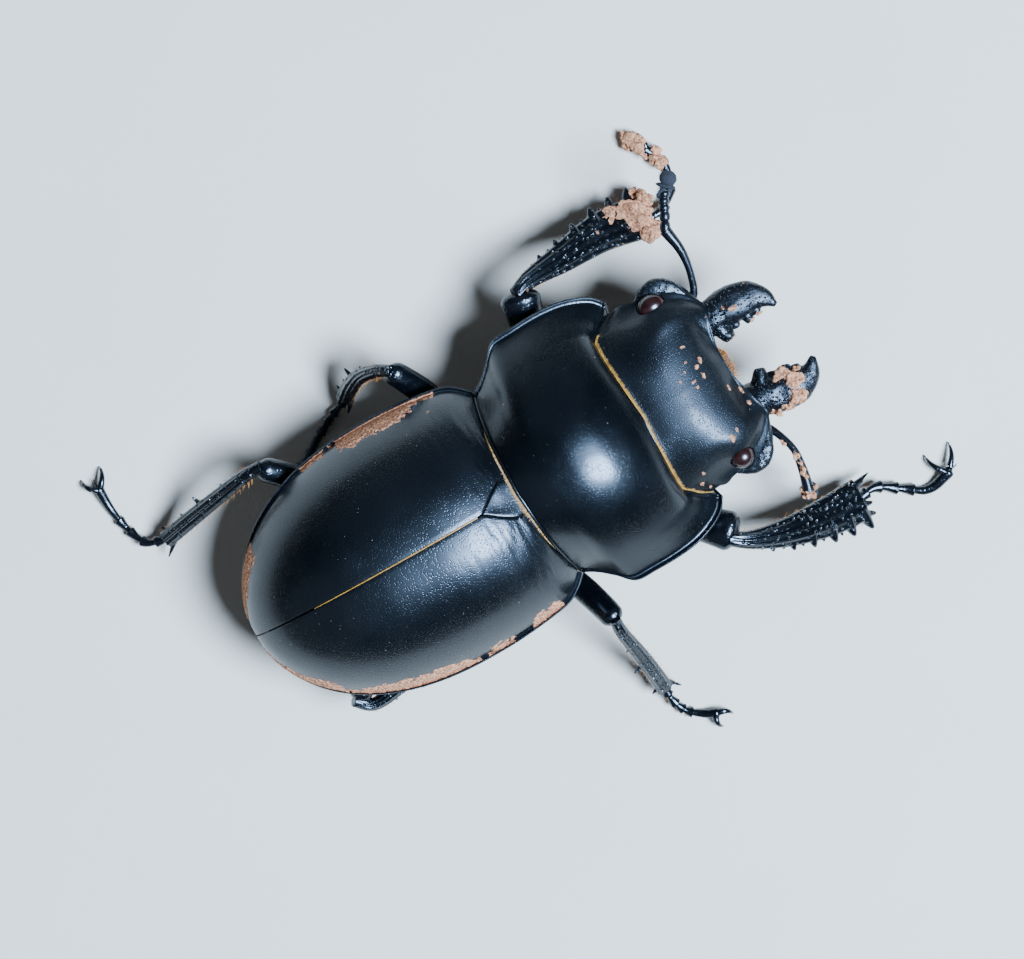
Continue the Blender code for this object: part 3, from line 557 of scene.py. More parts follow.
piece("scutellum_shield", sleeve(scutellum_place, 40, 48), SHIELD_SKIN, "wing_case", ["scutellum"])

# %% [markdown]
# Wing cases. Each one is a curved shell: high along the middle seam, falling to a flattened
# gutter with a raised bead along its margin, then rolling under to a sharp lower edge. They meet
# in a straight seam. The sleeve's first half is the upper side and the rest turns under it.

# %% Wing cases
ELYTRA_LENGTH = 19.2
ELYTRA_HALF_WIDTH = 8.28
ELYTRA_WIDEST_AT = 12.3
ELYTRA_CROWN = 5.7
ELYTRA_MARGIN_Z = 6.5
ELYTRA_EDGE_DEPTH = 0.75
ELYTRA_BASE_BEND = 1.05
SEAM_HALF = 0.05
# Shares of the section: its upper side, then of the rest the part that rolls under the edge
UPPER_SHARE = 0.72
ROLL_SHARE = 0.35
ROLL_IN = 0.25


def elytron_half_width(u):
    """Half the width of both wing cases, u millimetres forward of their tips."""
    if u < ELYTRA_WIDEST_AT:
        behind = (ELYTRA_WIDEST_AT - u) / ELYTRA_WIDEST_AT
        return ELYTRA_HALF_WIDTH * math.sqrt(max(0, 1 - behind**2.35))
    beyond = (u - ELYTRA_WIDEST_AT) / 5.2
    shoulder = max(0, (u - 17.3) / 1.85)
    return ELYTRA_HALF_WIDTH - 0.5 * min(beyond, 1) ** 2 - 1.2 * shoulder**1.7


def elytron_crown(u):
    """Height of the seam over the margin."""
    if u < 12:
        return ELYTRA_CROWN * max(0, 1 - ((12 - u) / 12) ** 2.6) ** 0.62
    return ELYTRA_CROWN - 1.25 * ((u - 12) / 7.2) ** 2


def elytron_point(u, t, side):
    """Place on the upper side: t runs from the seam to the margin."""
    bend = max(0, (u - 13.5) / (ELYTRA_LENGTH - 13.5)) ** 1.6
    v = side * (SEAM_HALF + t * (elytron_half_width(u) - SEAM_HALF))
    f = u - ELYTRA_LENGTH - ELYTRA_BASE_BEND * bend * (1 - t**4) - v * math.sin(FORE_YAW) * bend
    margin = ELYTRA_MARGIN_Z - 0.35 * max(0, 1 - u / 6) ** 2
    dome = max(0, 1 - (t / 0.965) ** 2.4) ** 0.8
    inside = scutellum_half(f) + 0.02 - abs(v)
    lift = -0.4 * min(1, inside / 0.10) if f > -3.32 and inside > 0 else 0.0
    crease = noise.noise(Vector((f * 2.6, v * 0.55, side * 7.0)))
    crease += 0.5 * noise.noise(Vector((f * 6.0, v * 1.1, 3.0)))
    lift += 0.035 * crease * plateau(f, -3.2, 0.0, 4.0) * (1 - t**6) * min(1, abs(v) / 1.5)
    bead = 0.10 * bump(t, 0.99, 0.009) - 0.04 * bump(t, 0.962, 0.015) - 0.05 * bump(t, 0.004, 0.006)
    return body(f, v, margin + elytron_crown(u) * dome + bead + lift)


def elytron_station(s):
    """Station u for a share s of the way from tip to base, closer together at both ends."""
    return 0.05 + (ELYTRA_LENGTH - 0.06) * (1 - math.cos(math.pi * s)) / 2


def elytron_place(side):
    """Rule for the sleeve of one wing case."""

    def place(s, c):
        u = elytron_station(s)
        if c < UPPER_SHARE:
            return elytron_point(u, math.sin(math.pi / 2 * c / UPPER_SHARE) ** 0.9, side)
        under = (c - UPPER_SHARE) / (1 - UPPER_SHARE)
        rim, seam = elytron_point(u, 1, side), elytron_point(u, 0, side)
        inward = (seam - rim).normalized() * MM * ROLL_IN
        drop = ELYTRA_EDGE_DEPTH * MM * min(1, u / 1.5)
        if under < ROLL_SHARE:
            turn = under / ROLL_SHARE
            spot = rim + inward * turn**2
            spot.z = rim.z - drop * math.sin(math.pi / 2 * turn)
            return spot
        turn = (under - ROLL_SHARE) / (1 - ROLL_SHARE)
        spot = (rim + inward).lerp(seam, min(turn, 0.999) if turn < 1 else 1)
        spot.z = rim.z - drop + (seam.z - rim.z + drop) * turn**6
        return spot

    return place


for side, sign in SIDES:
    bm = sleeve(elytron_place(sign), 150, 170)
    piece(f"wing_case_{side}", bm, WING_SKIN, "wing_case", [f"elytron_{side}"])

# %% [markdown]
# Pronotum. The broad shield behind the head is arched in the middle and flattened at the sides,
# where a bright bead runs along its edge. Its front corners reach forward round the head. The
# front and hind edges carry a thin bead too. Curves along it say how wide and high it is.

# %% Pronotum
# Side f, half width, middle f, middle z and side z, each from the rear edge to the front edge
PRONOTUM = [curve(column) for column in (
    (0.00, 0.75, 1.60, 2.55, 4.00, 5.60, 7.05, 8.20, 9.20, 9.80),
    (6.45, 6.90, 7.65, 8.58, 8.70, 8.72, 8.58, 8.24, 7.70, 6.95),
    (-1.00, -0.30, 0.60, 1.60, 3.00, 4.50, 5.80, 6.90, 7.55, 7.85),
    (11.10, 11.40, 11.65, 11.85, 12.00, 11.85, 11.40, 10.80, 10.25, 9.95),
    (6.75, 6.80, 6.85, 6.90, 6.95, 6.95, 6.90, 6.80, 6.60, 6.45),
)]
PRONOTUM_FLOOR_Z = 5.9
PRONOTUM_REAR_BEND = ((0, 1), (0.5, 0.8), (0.75, 0.55), (0.93, 0.25), (1, 0))
PRONOTUM_FRONT_BEND = (
    (0, 0.93), (0.3, 1.0), (0.74, 1.0), (0.80, 0.80), (0.87, 0.56), (0.92, 0.26), (1, 0),
)
# Share of a plate's section that is its upper side, and share of the rest that is its side wall
TOP_SHARE = 0.66
WALL_SHARE = 0.14


def plate_point(plate, rear, front, dome, s, t):
    """Place on a body plate: s from rear to front edge, t from the middle to the left side."""
    side_f, half, mid_f, mid_z, side_z = (value(s) for value in plate)
    bend = smooth_value(rear, abs(t)) * (1 - s * s) + smooth_value(front, abs(t)) * s * s
    return side_f + (mid_f - side_f) * bend, t * half, side_z + (mid_z - side_z) * dome(abs(t))


def pronotum_top(s, t):
    """Upper side of the pronotum in body millimetres, with its beads."""
    f, v, z = plate_point(
        PRONOTUM, PRONOTUM_REAR_BEND, PRONOTUM_FRONT_BEND,
        lambda share: max(0, 1 - (share / 0.96) ** 2.2) ** 1.15, s, t,
    )
    z += 0.10 * bump(abs(t), 0.990, 0.008) - 0.03 * bump(abs(t), 0.965, 0.015)
    z += 0.05 * bump(s, 0.992, 0.009) + 0.05 * bump(s, 0.006, 0.008)
    z -= 0.04 * bump(s, 0.970, 0.010) + 0.04 * bump(s, 0.025, 0.009)
    return f, v, z


def plate_place(top, floor, tuck):
    """Rule for the sleeve of a plate: over the top, round the side and back below at a floor."""

    def place(s, c):
        if c <= TOP_SHARE:
            return fore(*top(s, math.sin(math.pi * (c / TOP_SHARE - 0.5))))
        side = 1 - 2 * (c - TOP_SHARE) / (1 - TOP_SHARE)
        reach = min(1, (1 - abs(side)) / WALL_SHARE)
        f, v, z = top(s, 1 if side > 0 else -1)
        below = max(0, (1 - abs(side) - WALL_SHARE) / (1 - WALL_SHARE))
        inward = tuck * reach**2 + (1 - tuck) * below
        f += (top(s, 0)[0] - f) * inward
        level = floor(s)
        return fore(f, v * (1 - inward), level + (z - level) * (1 - math.sin(math.pi / 2 * reach)))

    return place


bm = sleeve(plate_place(pronotum_top, lambda s: PRONOTUM_FLOOR_Z, 0.03), 150, 330)
piece("pronotum_shield", bm, SHIELD_SKIN, "pronotum_shield", ["pronotum"])

# %% [markdown]
# Head. The capsule is broad and shallowly domed, with a flat front that dips in the middle and
# turns in behind the lip. Each side has an upper and a lower half eye. They sit in sockets, cut
# with balls a little larger than the eyes.

# %% Head
# Side f, half width, middle f, middle z and side z, each from the neck to the front edge
HEAD = [curve(column) for column in (
    (9.95, 10.40, 10.95, 11.40, 12.05, 12.70, 13.35, 13.90, 14.35, 14.60),
    (6.30, 6.38, 6.18, 6.14, 6.50, 6.68, 6.42, 5.95, 5.20, 4.35),
    (8.25, 9.20, 10.10, 10.90, 11.60, 12.20, 12.80, 13.35, 13.80, 14.10),
    (9.62, 9.86, 9.93, 9.86, 9.68, 9.42, 9.08, 8.66, 8.22, 7.90),
    (7.30, 7.40, 7.45, 7.50, 7.50, 7.50, 7.45, 7.40, 7.35, 7.30),
)]
HEAD_REAR_BEND = ((0, 1), (0.83, 1.0), (0.89, 0.72), (0.95, 0.42), (1, 0))
HEAD_FRONT_BEND = ((0, 1), (0.3, 0.85), (0.6, 0.1), (0.85, -0.5), (1, 0))
HEAD_DOME = (
    (0, 1), (0.3, 0.97), (0.5, 0.88), (0.65, 0.74), (0.78, 0.50), (0.88, 0.20), (0.95, 0.04),
    (1, 0),
)
HEAD_FLOOR_Z = 5.0
# The share of the sleeve where the front begins to turn in, and the place where it ends
HEAD_FRONT_FROM = 0.985
HEAD_FRONT_END = (13.9, 0, 6.4)
# The share at the back that lies hidden under the pronotum
HEAD_NECK = 0.06
# Centre and half sizes of each half eye
EYES = {
    "left_upper": ((11.98, 5.38, 7.80), (0.90, 0.72, 0.72)),
    "left_lower": ((12.10, 5.75, 5.60), (0.80, 0.62, 0.60)),
    "right_upper": ((11.98, -5.32, 7.98), (0.78, 0.76, 0.74)),
    "right_lower": ((12.10, -5.75, 5.60), (0.80, 0.62, 0.60)),
}
SOCKET_GAP = 0.05


def head_top(s, t):
    """Upper side of the head in body millimetres."""
    share = abs(t)
    back = max(0, HEAD_NECK - s) / HEAD_NECK
    s = max(0, (s - HEAD_NECK) / (1 - HEAD_NECK))
    f, v, z = plate_point(
        HEAD, HEAD_REAR_BEND, HEAD_FRONT_BEND, lambda out: smooth_value(HEAD_DOME, out), s, t
    )
    near = max(0, 1 - s / 0.34)
    if near > 0:
        hood = pronotum_top(1, min(0.97, abs(v) / PRONOTUM[1](1)))
        drop = hood[2] - 0.02 - z
        z += (drop - math.hypot(drop, 0.15)) / 2 * near**1.5
    f -= 0.9 * back
    z -= 0.30 * back**2
    z -= 0.35 * bump(share, 0.33, 0.18) * bump(s, 0.93, 0.13)
    z += 0.05 * bump(s, 0.985, 0.02)
    z -= 0.22 * bump(share, 0.79, 0.05) * bump(s, 0.72, 0.2)
    z += 0.10 * bump(share, 0.62, 0.08) * bump(s, 0.55, 0.22)
    z -= 0.12 * bump(share, 0.50, 0.10) * bump(s, 0.82, 0.08)
    return f, v, z


def ball(centre, half_sizes, frame_at=fore, segments=48, rings=32):
    """An egg shape round a body point, its half sizes along f, v and z in millimetres."""
    bm = bmesh.new()
    bmesh.ops.create_uvsphere(bm, u_segments=segments, v_segments=rings, radius=1)
    half_f, half_v, half_z = half_sizes
    for vert in bm.verts:
        x, y, z = vert.co
        vert.co = frame_at(centre[0] + y * half_f, centre[1] + x * half_v, centre[2] + z * half_z)
    return bm


def swelled(half_sizes, by):
    """Half sizes grown by a margin in millimetres."""
    return tuple(half + by for half in half_sizes)


def head_place(rule):
    """The head's rule, with a front end that turns in to a point behind the lip."""
    inside = fore(*HEAD_FRONT_END)

    def place(s, c):
        inward = max(0, (s - HEAD_FRONT_FROM) / (1 - HEAD_FRONT_FROM))
        return rule(min(1, s / HEAD_FRONT_FROM), c).lerp(inside, 0.98 * inward)

    return place


sockets = [ball(centre, swelled(half_sizes, SOCKET_GAP)) for centre, half_sizes in EYES.values()]
rule = plate_place(head_top, lambda s: HEAD_FLOOR_Z + 0.9 * (1 - s), 0.10)
bm = sleeve(head_place(rule), 132, 270)
bm = carve(bm, sockets)
piece("head_capsule", bm, HEAD_SKIN, "head_shell", ["head"])
for name, (centre, half_sizes) in EYES.items():
    piece(f"eye_{name}_glass", ball(centre, half_sizes), EYE_GLASS, "eye", [f"eye_{name}"])

# %% [markdown]
# Canthus lobes. The plate that divides each eye in two swells outward and forward as a crescent
# along the rim of the head, flat on top, shiny and coarsely pitted. It is a bent limb, thickest
# beside the eye.

# %% Canthus lobes
CANTHUS = (
    (11.3, 6.00, 7.25), (12.1, 6.18, 7.28), (12.8, 6.14, 7.34), (13.5, 5.72, 7.38),
    (14.15, 4.85, 7.40),
)
CANTHUS_WIDTH = curve((0.35, 1.0, 1.25, 1.05, 0.3))
for side, sign in SIDES:
    points = [(f, sign * v, z) for f, v, z in CANTHUS]
    rule = limb_place(points, CANTHUS_WIDTH, lambda s: 0.55 * CANTHUS_WIDTH(s) + 0.25, fore, 2.8)
    bm = sleeve(rule, 150, 90)
    rough(bm, 0.35, 0.03, sign)
    piece(f"canthus_{side}", bm, PITTED_SKIN, "head_shell")

# %% [markdown]
# Jaws. This species has short, thick mandibles with blunt teeth along the inner edge. Each is a
# bent sleeve with its teeth fused on by remeshing, which rounds the joins as in grown horn. Coarse
# dents cover them, and the right jaw is held open a little wider than the left.

# %% Jaws
# The f, v, z, width and depth, each from the hinge to the tip
MANDIBLE = (
    (13.9, 14.9, 15.9, 16.8, 17.6, 18.2, 18.6),
    (2.90, 2.85, 2.90, 2.85, 2.60, 2.15, 1.45),
    (6.70, 6.75, 6.85, 6.95, 7.00, 7.05, 7.10),
    (2.3, 2.3, 2.4, 2.3, 1.9, 1.2, 0.35),
    (1.9, 2.0, 1.9, 1.6, 1.2, 0.8, 0.35),
)
# Inner teeth: root f and v, tip f and v, tip z, root radius
MANDIBLE_TEETH = (
    (14.9, 2.3, 15.2, 1.10, 7.0, 0.72),
    (15.8, 2.2, 15.9, 1.50, 6.9, 0.52),
    (16.7, 2.2, 16.8, 1.38, 7.0, 0.54),
    (17.4, 2.1, 17.4, 1.52, 7.1, 0.44),
)
TOOTH_ROOT_Z = 6.85
MANDIBLE_OPENING = {"left": 0.0, "right": math.radians(-12.0)}
HINGE = (14.2, 3.6)


def jaw_frame(side, sign):
    """Places points of a jaw drawn closed, turned about its hinge."""
    hinge = Vector((sign * HINGE[1], -HINGE[0], 0))
    turn = Matrix.Rotation(MANDIBLE_OPENING[side], 3, "Z")

    def place(f, v, z):
        spot = turn @ (Vector((v, -f, z)) - hinge) + hinge
        return fore(-spot.y, spot.x, spot.z)

    return place


for side, sign in SIDES:
    frame_at = jaw_frame(side, sign)
    points = [(f, sign * v, z) for f, v, z in zip(*MANDIBLE[:3])]
    rule = limb_place(points, curve(MANDIBLE[3]), curve(MANDIBLE[4]), frame_at, 2.15)
    bm = sleeve(rule, 60, 48)
    for f0, v0, f1, v1, z1, radius in MANDIBLE_TEETH:
        root, tip = frame_at(f0, sign * v0, TOOTH_ROOT_Z), frame_at(f1, sign * v1, z1)
        horn(root, tip, radius, bm, (0, 0, 0.1), 14, 10, 0.45)
    bm = melt(bm, 0.05, 7)
    rough(bm, 0.9, 0.09, 3.0 + sign)
    rough(bm, 0.3, 0.014, 9.0 + sign)
    piece(f"jaw_{side}", bm, HORN_SKIN, "mandible_horn", [f"mandible_{side}"])

# %% [markdown]
# Mouth. The labrum is a short lip between the jaws with a brush of orange hairs. Below lie the
# chin plate, called the mentum, and two jointed palps with which the beetle tastes the ground.

# %% Mouth
# Width of a feeler's narrowest place between two joints, as a share of its widest
WAIST = 0.62


def beaded(points, thick, joints):
    """A jointed feeler: one swelling per joint along a path."""

    def width(s):
        step = (s * joints) % 1.0 if s < 1 else 1.0
        swelling = math.sin(math.pi * min(step * 0.85 + 0.12, 1)) ** 0.6
        return thick(s) * (WAIST + (1 - WAIST) * swelling)

    return sleeve(limb_place(points, width, width, fore), joints * 10, 20)


lip = limb_place(
    [(13.0, 0, 5.9), (13.9, 0, 5.85), (14.5, 0, 5.8)],
    lambda s: 2.5 - 1.2 * s**3, lambda s: 0.85 - 0.45 * s, fore, 3.0,
)
piece("labrum_lip", sleeve(lip, 30, 40), BELLY_SKIN, "mouthparts", ["labrum"])
chin = limb_place(
    [(10.3, 0, 4.5), (12.4, 0, 4.4), (14.0, 0, 4.5)],
    lambda s: 3.2 + 2.4 * math.sin(math.pi * min(1, s * 0.8)), lambda s: 0.95 - 0.2 * s, fore, 3.0,
)
piece("mentum_plate", sleeve(chin, 40, 56), BELLY_SKIN, "underside", ["mentum"])
PALP = ((13.2, 2.2, 4.2), (14.6, 2.3, 4.0), (15.5, 2.7, 3.9), (16.3, 3.3, 3.8))
for side, sign in SIDES:
    points = [(f, sign * v, z) for f, v, z in PALP]
    bm = beaded(points, lambda s: 0.5 + 0.12 * s, 4)
    piece(f"palp_{side}_joints", bm, FEELER_SKIN, "mouthparts", [f"palp_{side}"])

# %% [markdown]
# Antennae. Stag beetles have elbowed antennae: one long scape, then small bead-like joints, then
# a club of three leaves that point inward, velvety with sense hairs. The right whip hangs down
# out of sight of the camera, so its shape follows the left one.

# %% Antennae
# The f, the v and the z of five points along each
SCAPE = {
    "left": ((14.0, 14.7, 15.15, 15.3, 15.1), (4.3, 4.7, 6.0, 7.4, 8.9), (6.6, 6.9, 7.4, 7.8, 8.1)),
    "right": (
        (14.0, 14.5, 14.95, 14.8, 14.45), (-4.5, -5.1, -6.6, -8.0, -9.4), (6.6, 6.9, 7.2, 7.2, 6.9),
    ),
}
WHIP = {
    "left": (
        (15.05, 15.6, 15.95, 16.4, 16.9), (8.8, 9.8, 10.5, 11.1, 11.55),
        (8.1, 8.15, 8.2, 8.25, 8.3),
    ),
    "right": (
        (14.45, 14.5, 14.55, 14.6, 14.65), (-9.3, -9.5, -9.6, -9.65, -9.75),
        (6.8, 5.9, 5.2, 4.6, 4.0),
    ),
}
SCAPE_WIDTH = curve((0.66, 0.50, 0.46, 0.58, 0.76))
# Club: place along the whip, then half sizes of each leaf along it, across it and upright
CLUB_LEAVES = ((0.66, 0.16, 0.55, 0.45), (0.80, 0.16, 0.62, 0.50), (0.98, 0.50, 0.54, 0.52))


def leaf(path, share, half_sizes, target):
    """One leaf of the club: an egg set square to the whip."""
    middle, before = fore(*path(share)), fore(*path(share - 0.05))
    turn = (middle - before).to_track_quat("X", "Z").to_matrix().to_4x4()
    bm = bmesh.new()
    bmesh.ops.create_uvsphere(bm, u_segments=32, v_segments=22, radius=MM)
    bmesh.ops.scale(bm, vec=Vector(half_sizes), verts=bm.verts)
    bmesh.ops.transform(bm, matrix=Matrix.Translation(middle) @ turn, verts=bm.verts)
    return merge(bm, target)


for side in SCAPE:
    bm = sleeve(limb_place(through(SCAPE[side]), SCAPE_WIDTH, SCAPE_WIDTH, fore), 60, 24)
    piece(f"scape_{side}", bm, FEELER_SKIN, "antenna", [f"antenna_{side}_scape"])
    bm = beaded(through(WHIP[side]), lambda s: 0.66 + 0.06 * s, 7)
    piece(f"whip_{side}", bm, FEELER_SKIN, "antenna", [f"antenna_{side}_whip"])
    club = bmesh.new()
    path = along_path(through(WHIP[side]))
    for share, *half_sizes in CLUB_LEAVES:
        leaf(path, share, half_sizes, club)
    rough(club, 0.12, 0.03, 5.0)
    piece(f"club_{side}", club, VELVET, "antenna")

# %% [markdown]
# Underside. Below the plates the body closes in three parts: the prothorax under the pronotum,
# the thorax that carries the four hind legs, and a belly of five overlapping rings. Each is a
# shallow keel, so that it shows well in side views and leaves room for the hips.

# %% Underside


def keel_place(rows, top, frame_at, dip=0.0, rings=0):
    """Rule for a keel: flat above and round below, from rows of f, half width and lowest z."""
    first, last = rows[0][0], rows[-1][0]
    halves = tuple((first - f, half) for f, half, _ in rows)
    lows = tuple((first - f, low) for f, _, low in rows)

    def place(s, c):
        reach = s * (first - last)
        half, low = smooth_value(halves, reach), smooth_value(lows, reach)
        if rings:
            step = (s * rings) % 1.0
            low += dip * bump(min(step, 1 - step), 0, 0.07)
            half -= 0.5 * dip * bump(min(step, 1 - step), 0, 0.07)
        if c < 0.7:
            across = math.cos(math.pi * c / 0.7)
            return frame_at(first - reach, half * across, low + (top - low) * abs(across) ** 2.2)
        across = -1 + 2 * (c - 0.7) / 0.3
        return frame_at(first - reach, half * across, top + 0.01)

    return place


BELLY_TOP = ELYTRA_MARGIN_Z - ELYTRA_EDGE_DEPTH - 0.15
prothorax = (
    (7.8, 6.2, 3.7), (6.6, 7.5, 2.9), (4.6, 8.2, 2.4), (2.2, 7.7, 2.4), (0.6, 6.6, 2.9),
    (-0.3, 5.7, 3.6),
)
bm = sleeve(keel_place(prothorax, 5.95, fore), 50, 80)
piece("prosternum_plate", bm, BELLY_SKIN, "underside", ["prosternum"])
thorax = ((-0.8, 5.4, 3.2), (-2.4, 6.9, 2.5), (-5.0, 7.3, 2.2), (-7.4, 7.45, 2.2), (-8.7, 7.3, 2.5))
bm = sleeve(keel_place(thorax, BELLY_TOP, body, 0.12, 2), 70, 90)
piece("thorax_plate", bm, BELLY_SKIN, "underside", ["thorax_underside"])
belly = tuple(
    (f, 0.93 * elytron_half_width(f + ELYTRA_LENGTH), 2.45 + 2.1 * ((-8.7 - f) / 9.6) ** 2.2)
    for f in (-8.7, -10.6, -12.4, -14.2, -16.0, -17.4, -18.4)
)
bm = sleeve(keel_place(belly, BELLY_TOP, body, 0.16, 5), 150, 90)
piece("belly_rings", bm, BELLY_SKIN, "underside", ["abdomen"])

# %% [markdown]
# Legs. Each leg has a hip in its socket, a thick femur with a round knee, a tibia that widens to
# its toothed end, and a foot of five joints with two claws. The front tibia is a digging blade,
# broad and toothed along its outer edge. Tables hold the points each part passes through.

# %% Leg tables
LEG_NAMES = ("front_left", "front_right", "mid_left", "mid_right", "hind_left", "hind_right")
# One row for each leg in that order. A hip has its place and half sizes. A limb has the f, the v
# and the z of the five points that it passes through. Claw tips have f and v.
HIPS = (
    ((3.3, 2.5, 3.0), (1.35, 1.7, 1.25)),
    ((3.5, -2.5, 3.0), (1.35, 1.7, 1.25)),
    ((-2.4, 2.8, 2.8), (1.35, 1.4, 1.15)),
    ((-2.4, -2.8, 2.8), (1.35, 1.4, 1.15)),
    ((-8.3, 3.4, 2.9), (1.1, 2.4, 1.1)),
    ((-8.3, -3.4, 2.9), (1.1, 2.4, 1.1)),
)
FEMORA = (
    ((3.5, 4.0, 4.6, 4.95, 5.2), (3.0, 5.0, 7.4, 9.3, 10.35), (2.5, 3.0, 4.2, 5.2, 5.5)),
    ((3.9, 5.4, 7.2, 8.75, 9.6), (-3.0, -4.7, -6.7, -8.2, -9.05), (2.5, 3.0, 4.2, 5.2, 5.5)),
    ((-2.3, -2.3, -2.7, -3.5, -4.0), (3.3, 5.2, 7.4, 9.2, 10.1), (2.3, 2.8, 4.1, 5.5, 6.2)),
    ((-2.0, -1.2, -0.3, 0.3, 0.5), (-3.3, -5.2, -7.4, -9.2, -10.0), (2.3, 2.8, 4.1, 5.4, 6.0)),
    ((-8.8, -10.0, -11.6, -13.1, -13.9), (3.2, 4.6, 6.4, 8.0, 8.8), (2.3, 2.8, 4.0, 5.1, 5.6)),
    ((-8.9, -10.8, -13.0, -14.9, -15.7), (-3.0, -3.7, -4.9, -6.0, -6.4), (2.3, 2.7, 3.8, 4.7, 5.0)),
)
TIBIAE = (
    ((5.3, 6.3, 8.6, 11.5, 14.0), (10.5, 10.8, 10.93, 11.1, 10.75), (5.7, 5.4, 4.4, 2.9, 1.5)),
    ((9.3, 10.3, 12.5, 15.2, 17.6), (-9.3, -9.95, -10.75, -11.3, -11.5), (5.7, 5.4, 4.4, 2.9, 1.5)),
    ((-4.1, -4.8, -5.8, -6.7, -7.4), (10.2, 10.55, 10.7, 10.4, 9.9), (6.4, 5.6, 4.2, 2.7, 1.3)),
    ((0.5, 0.5, 0.8, 1.0, 1.15), (-10.2, -11.0, -12.8, -14.4, -15.8), (6.2, 5.6, 4.0, 2.6, 1.3)),
    ((-14.1, -15.1, -17.2, -19.4, -21.4), (8.9, 8.85, 8.5, 8.1, 7.7), (5.8, 5.4, 4.2, 2.7, 1.3)),
    (
        (-15.8, -15.0, -13.1, -11.0, -9.2), (-6.75, -7.4, -7.3, -7.0, -6.7),
        (4.9, 4.5, 3.5, 2.3, 1.3),
    ),
)
FEET = (
    ((13.9, 15.6, 16.9, 17.2, 16.5), (10.5, 10.4, 11.5, 12.9, 14.4), (1.4, 1.0, 0.42, 0.32, 0.7)),
    (
        (17.4, 18.8, 20.3, 21.8, 23.6), (-11.55, -11.35, -12.3, -13.2, -12.75),
        (1.4, 1.0, 0.42, 0.32, 0.7),
    ),
    ((-7.2, -8.2, -9.3, -10.5, -11.8), (9.9, 9.5, 9.0, 8.3, 7.4), (1.3, 0.75, 0.34, 0.28, 0.65)),
    ((1.1, 1.2, 1.6, 2.4, 3.4), (-15.6, -16.8, -17.8, -18.5, -19.0), (1.3, 0.75, 0.34, 0.28, 0.65)),
    (
        (-21.2, -22.6, -23.3, -23.6, -23.6), (7.75, 8.1, 9.5, 11.1, 12.7),
        (1.3, 0.8, 0.34, 0.28, 0.65),
    ),
    ((-9.4, -8.3, -7.6, -7.2, -6.9), (-6.7, -6.3, -5.3, -4.1, -2.8), (1.3, 0.75, 0.34, 0.28, 0.6)),
)
CLAW_TIPS = (
    ((15.6, 15.2), (16.5, 15.5)),
    ((24.3, -11.2), (22.6, -11.2)),
    ((-12.9, 7.3), (-12.5, 6.4)),
    ((4.1, -19.5), (3.2, -19.9)),
    ((-22.9, 13.7), (-24.3, 13.5)),
    ((-6.3, -1.9), (-7.2, -1.8)),
)
CLAW_TIP_Z = 0.10
LEGS = {
    name: {
        "coxa": hip, "femur": through(femur), "tibia": through(tibia), "tarsus": through(foot),
        "claws": [(f, v, CLAW_TIP_Z) for f, v in tips],
    }
    for name, hip, femur, tibia, foot, tips in zip(
        LEG_NAMES, HIPS, FEMORA, TIBIAE, FEET, CLAW_TIPS
    )
}
# For each kind of leg: width and depth along the limbs, thickness of a foot, size of the spines
# at the end of a tibia, and its teeth with their place along it, length, root radius and lean
DIGGING = {
    "femur": (curve((1.1, 1.7, 2.05, 2.4, 2.7)), curve((0.9, 1.2, 1.35, 1.65, 1.9))),
    "tibia": (curve((0.95, 1.2, 1.85, 2.5, 2.8)), curve((0.9, 0.95, 0.95, 0.9, 0.8))),
    "foot": 0.66,
    "spines": 1.0,
    "teeth": (
        (0.24, 0.07, 0.14, 0.3), (0.31, 0.10, 0.18, 0.3), (0.38, 0.22, 0.28, 0.3),
        (0.45, 0.12, 0.22, 0.3), (0.51, 0.28, 0.34, 0.3), (0.57, 0.14, 0.24, 0.3),
        (0.63, 0.36, 0.40, 0.3), (0.69, 0.18, 0.26, 0.3), (0.75, 0.44, 0.46, 0.5),
        (0.81, 0.2, 0.26, 0.4), (0.87, 0.52, 0.50, 0.7), (0.98, 0.56, 0.48, 1.2),
    ),
}
WALKING = {
    "femur": (curve((0.9, 1.4, 1.65, 1.6, 1.5)), curve((0.8, 1.0, 1.15, 1.2, 1.3))),
    "tibia": (curve((0.75, 0.85, 1.0, 1.1, 1.1)), curve((0.75, 0.8, 0.85, 0.9, 0.85))),
    "foot": 0.58,
    "spines": 0.5,
    "teeth": (
        (0.42, 0.14, 0.12, 0.3), (0.62, 0.5, 0.18, 0.4), (0.78, 0.16, 0.14, 0.3),
        (0.95, 0.35, 0.16, 0.5),
    ),
}
# Spines across the end of a tibia: place, length and root radius
END_SPINES = ((-0.62, 0.75, 0.26), (-0.2, 0.9, 0.34), (0.22, 1.05, 0.38), (0.62, 1.1, 0.42))
# Shares of a foot where its joints begin and where the last one ends
FOOT_JOINTS = (0.0, 0.16, 0.31, 0.46, 0.61, 1.0)
# Share of a femur where its knee begins to round off
KNEE_FROM = 0.86
# Hairs on each tibia and under each foot
SHIN_HAIRS = 46
FOOT_HAIRS = 60
print(len(LEGS), "legs in the tables")

# %% Leg shapes


def stretched(points, before, after):
    """A path made a little longer at both ends, so that the part sinks into its neighbours."""
    start, end = Vector(points[0]), Vector(points[-1])
    lead = start - (Vector(points[1]) - start).normalized() * before
    tail = end + (end - Vector(points[-2])).normalized() * after
    return (tuple(lead), *points[1:-1], tuple(tail))


def knee_round(size):
    """Width or depth that closes to a round knob at the knee."""

    def closed(s):
        past = max(0, (s - KNEE_FROM) / (1 - KNEE_FROM))
        return size(s) * math.sqrt(max(0.01, 1 - past**2))

    return closed


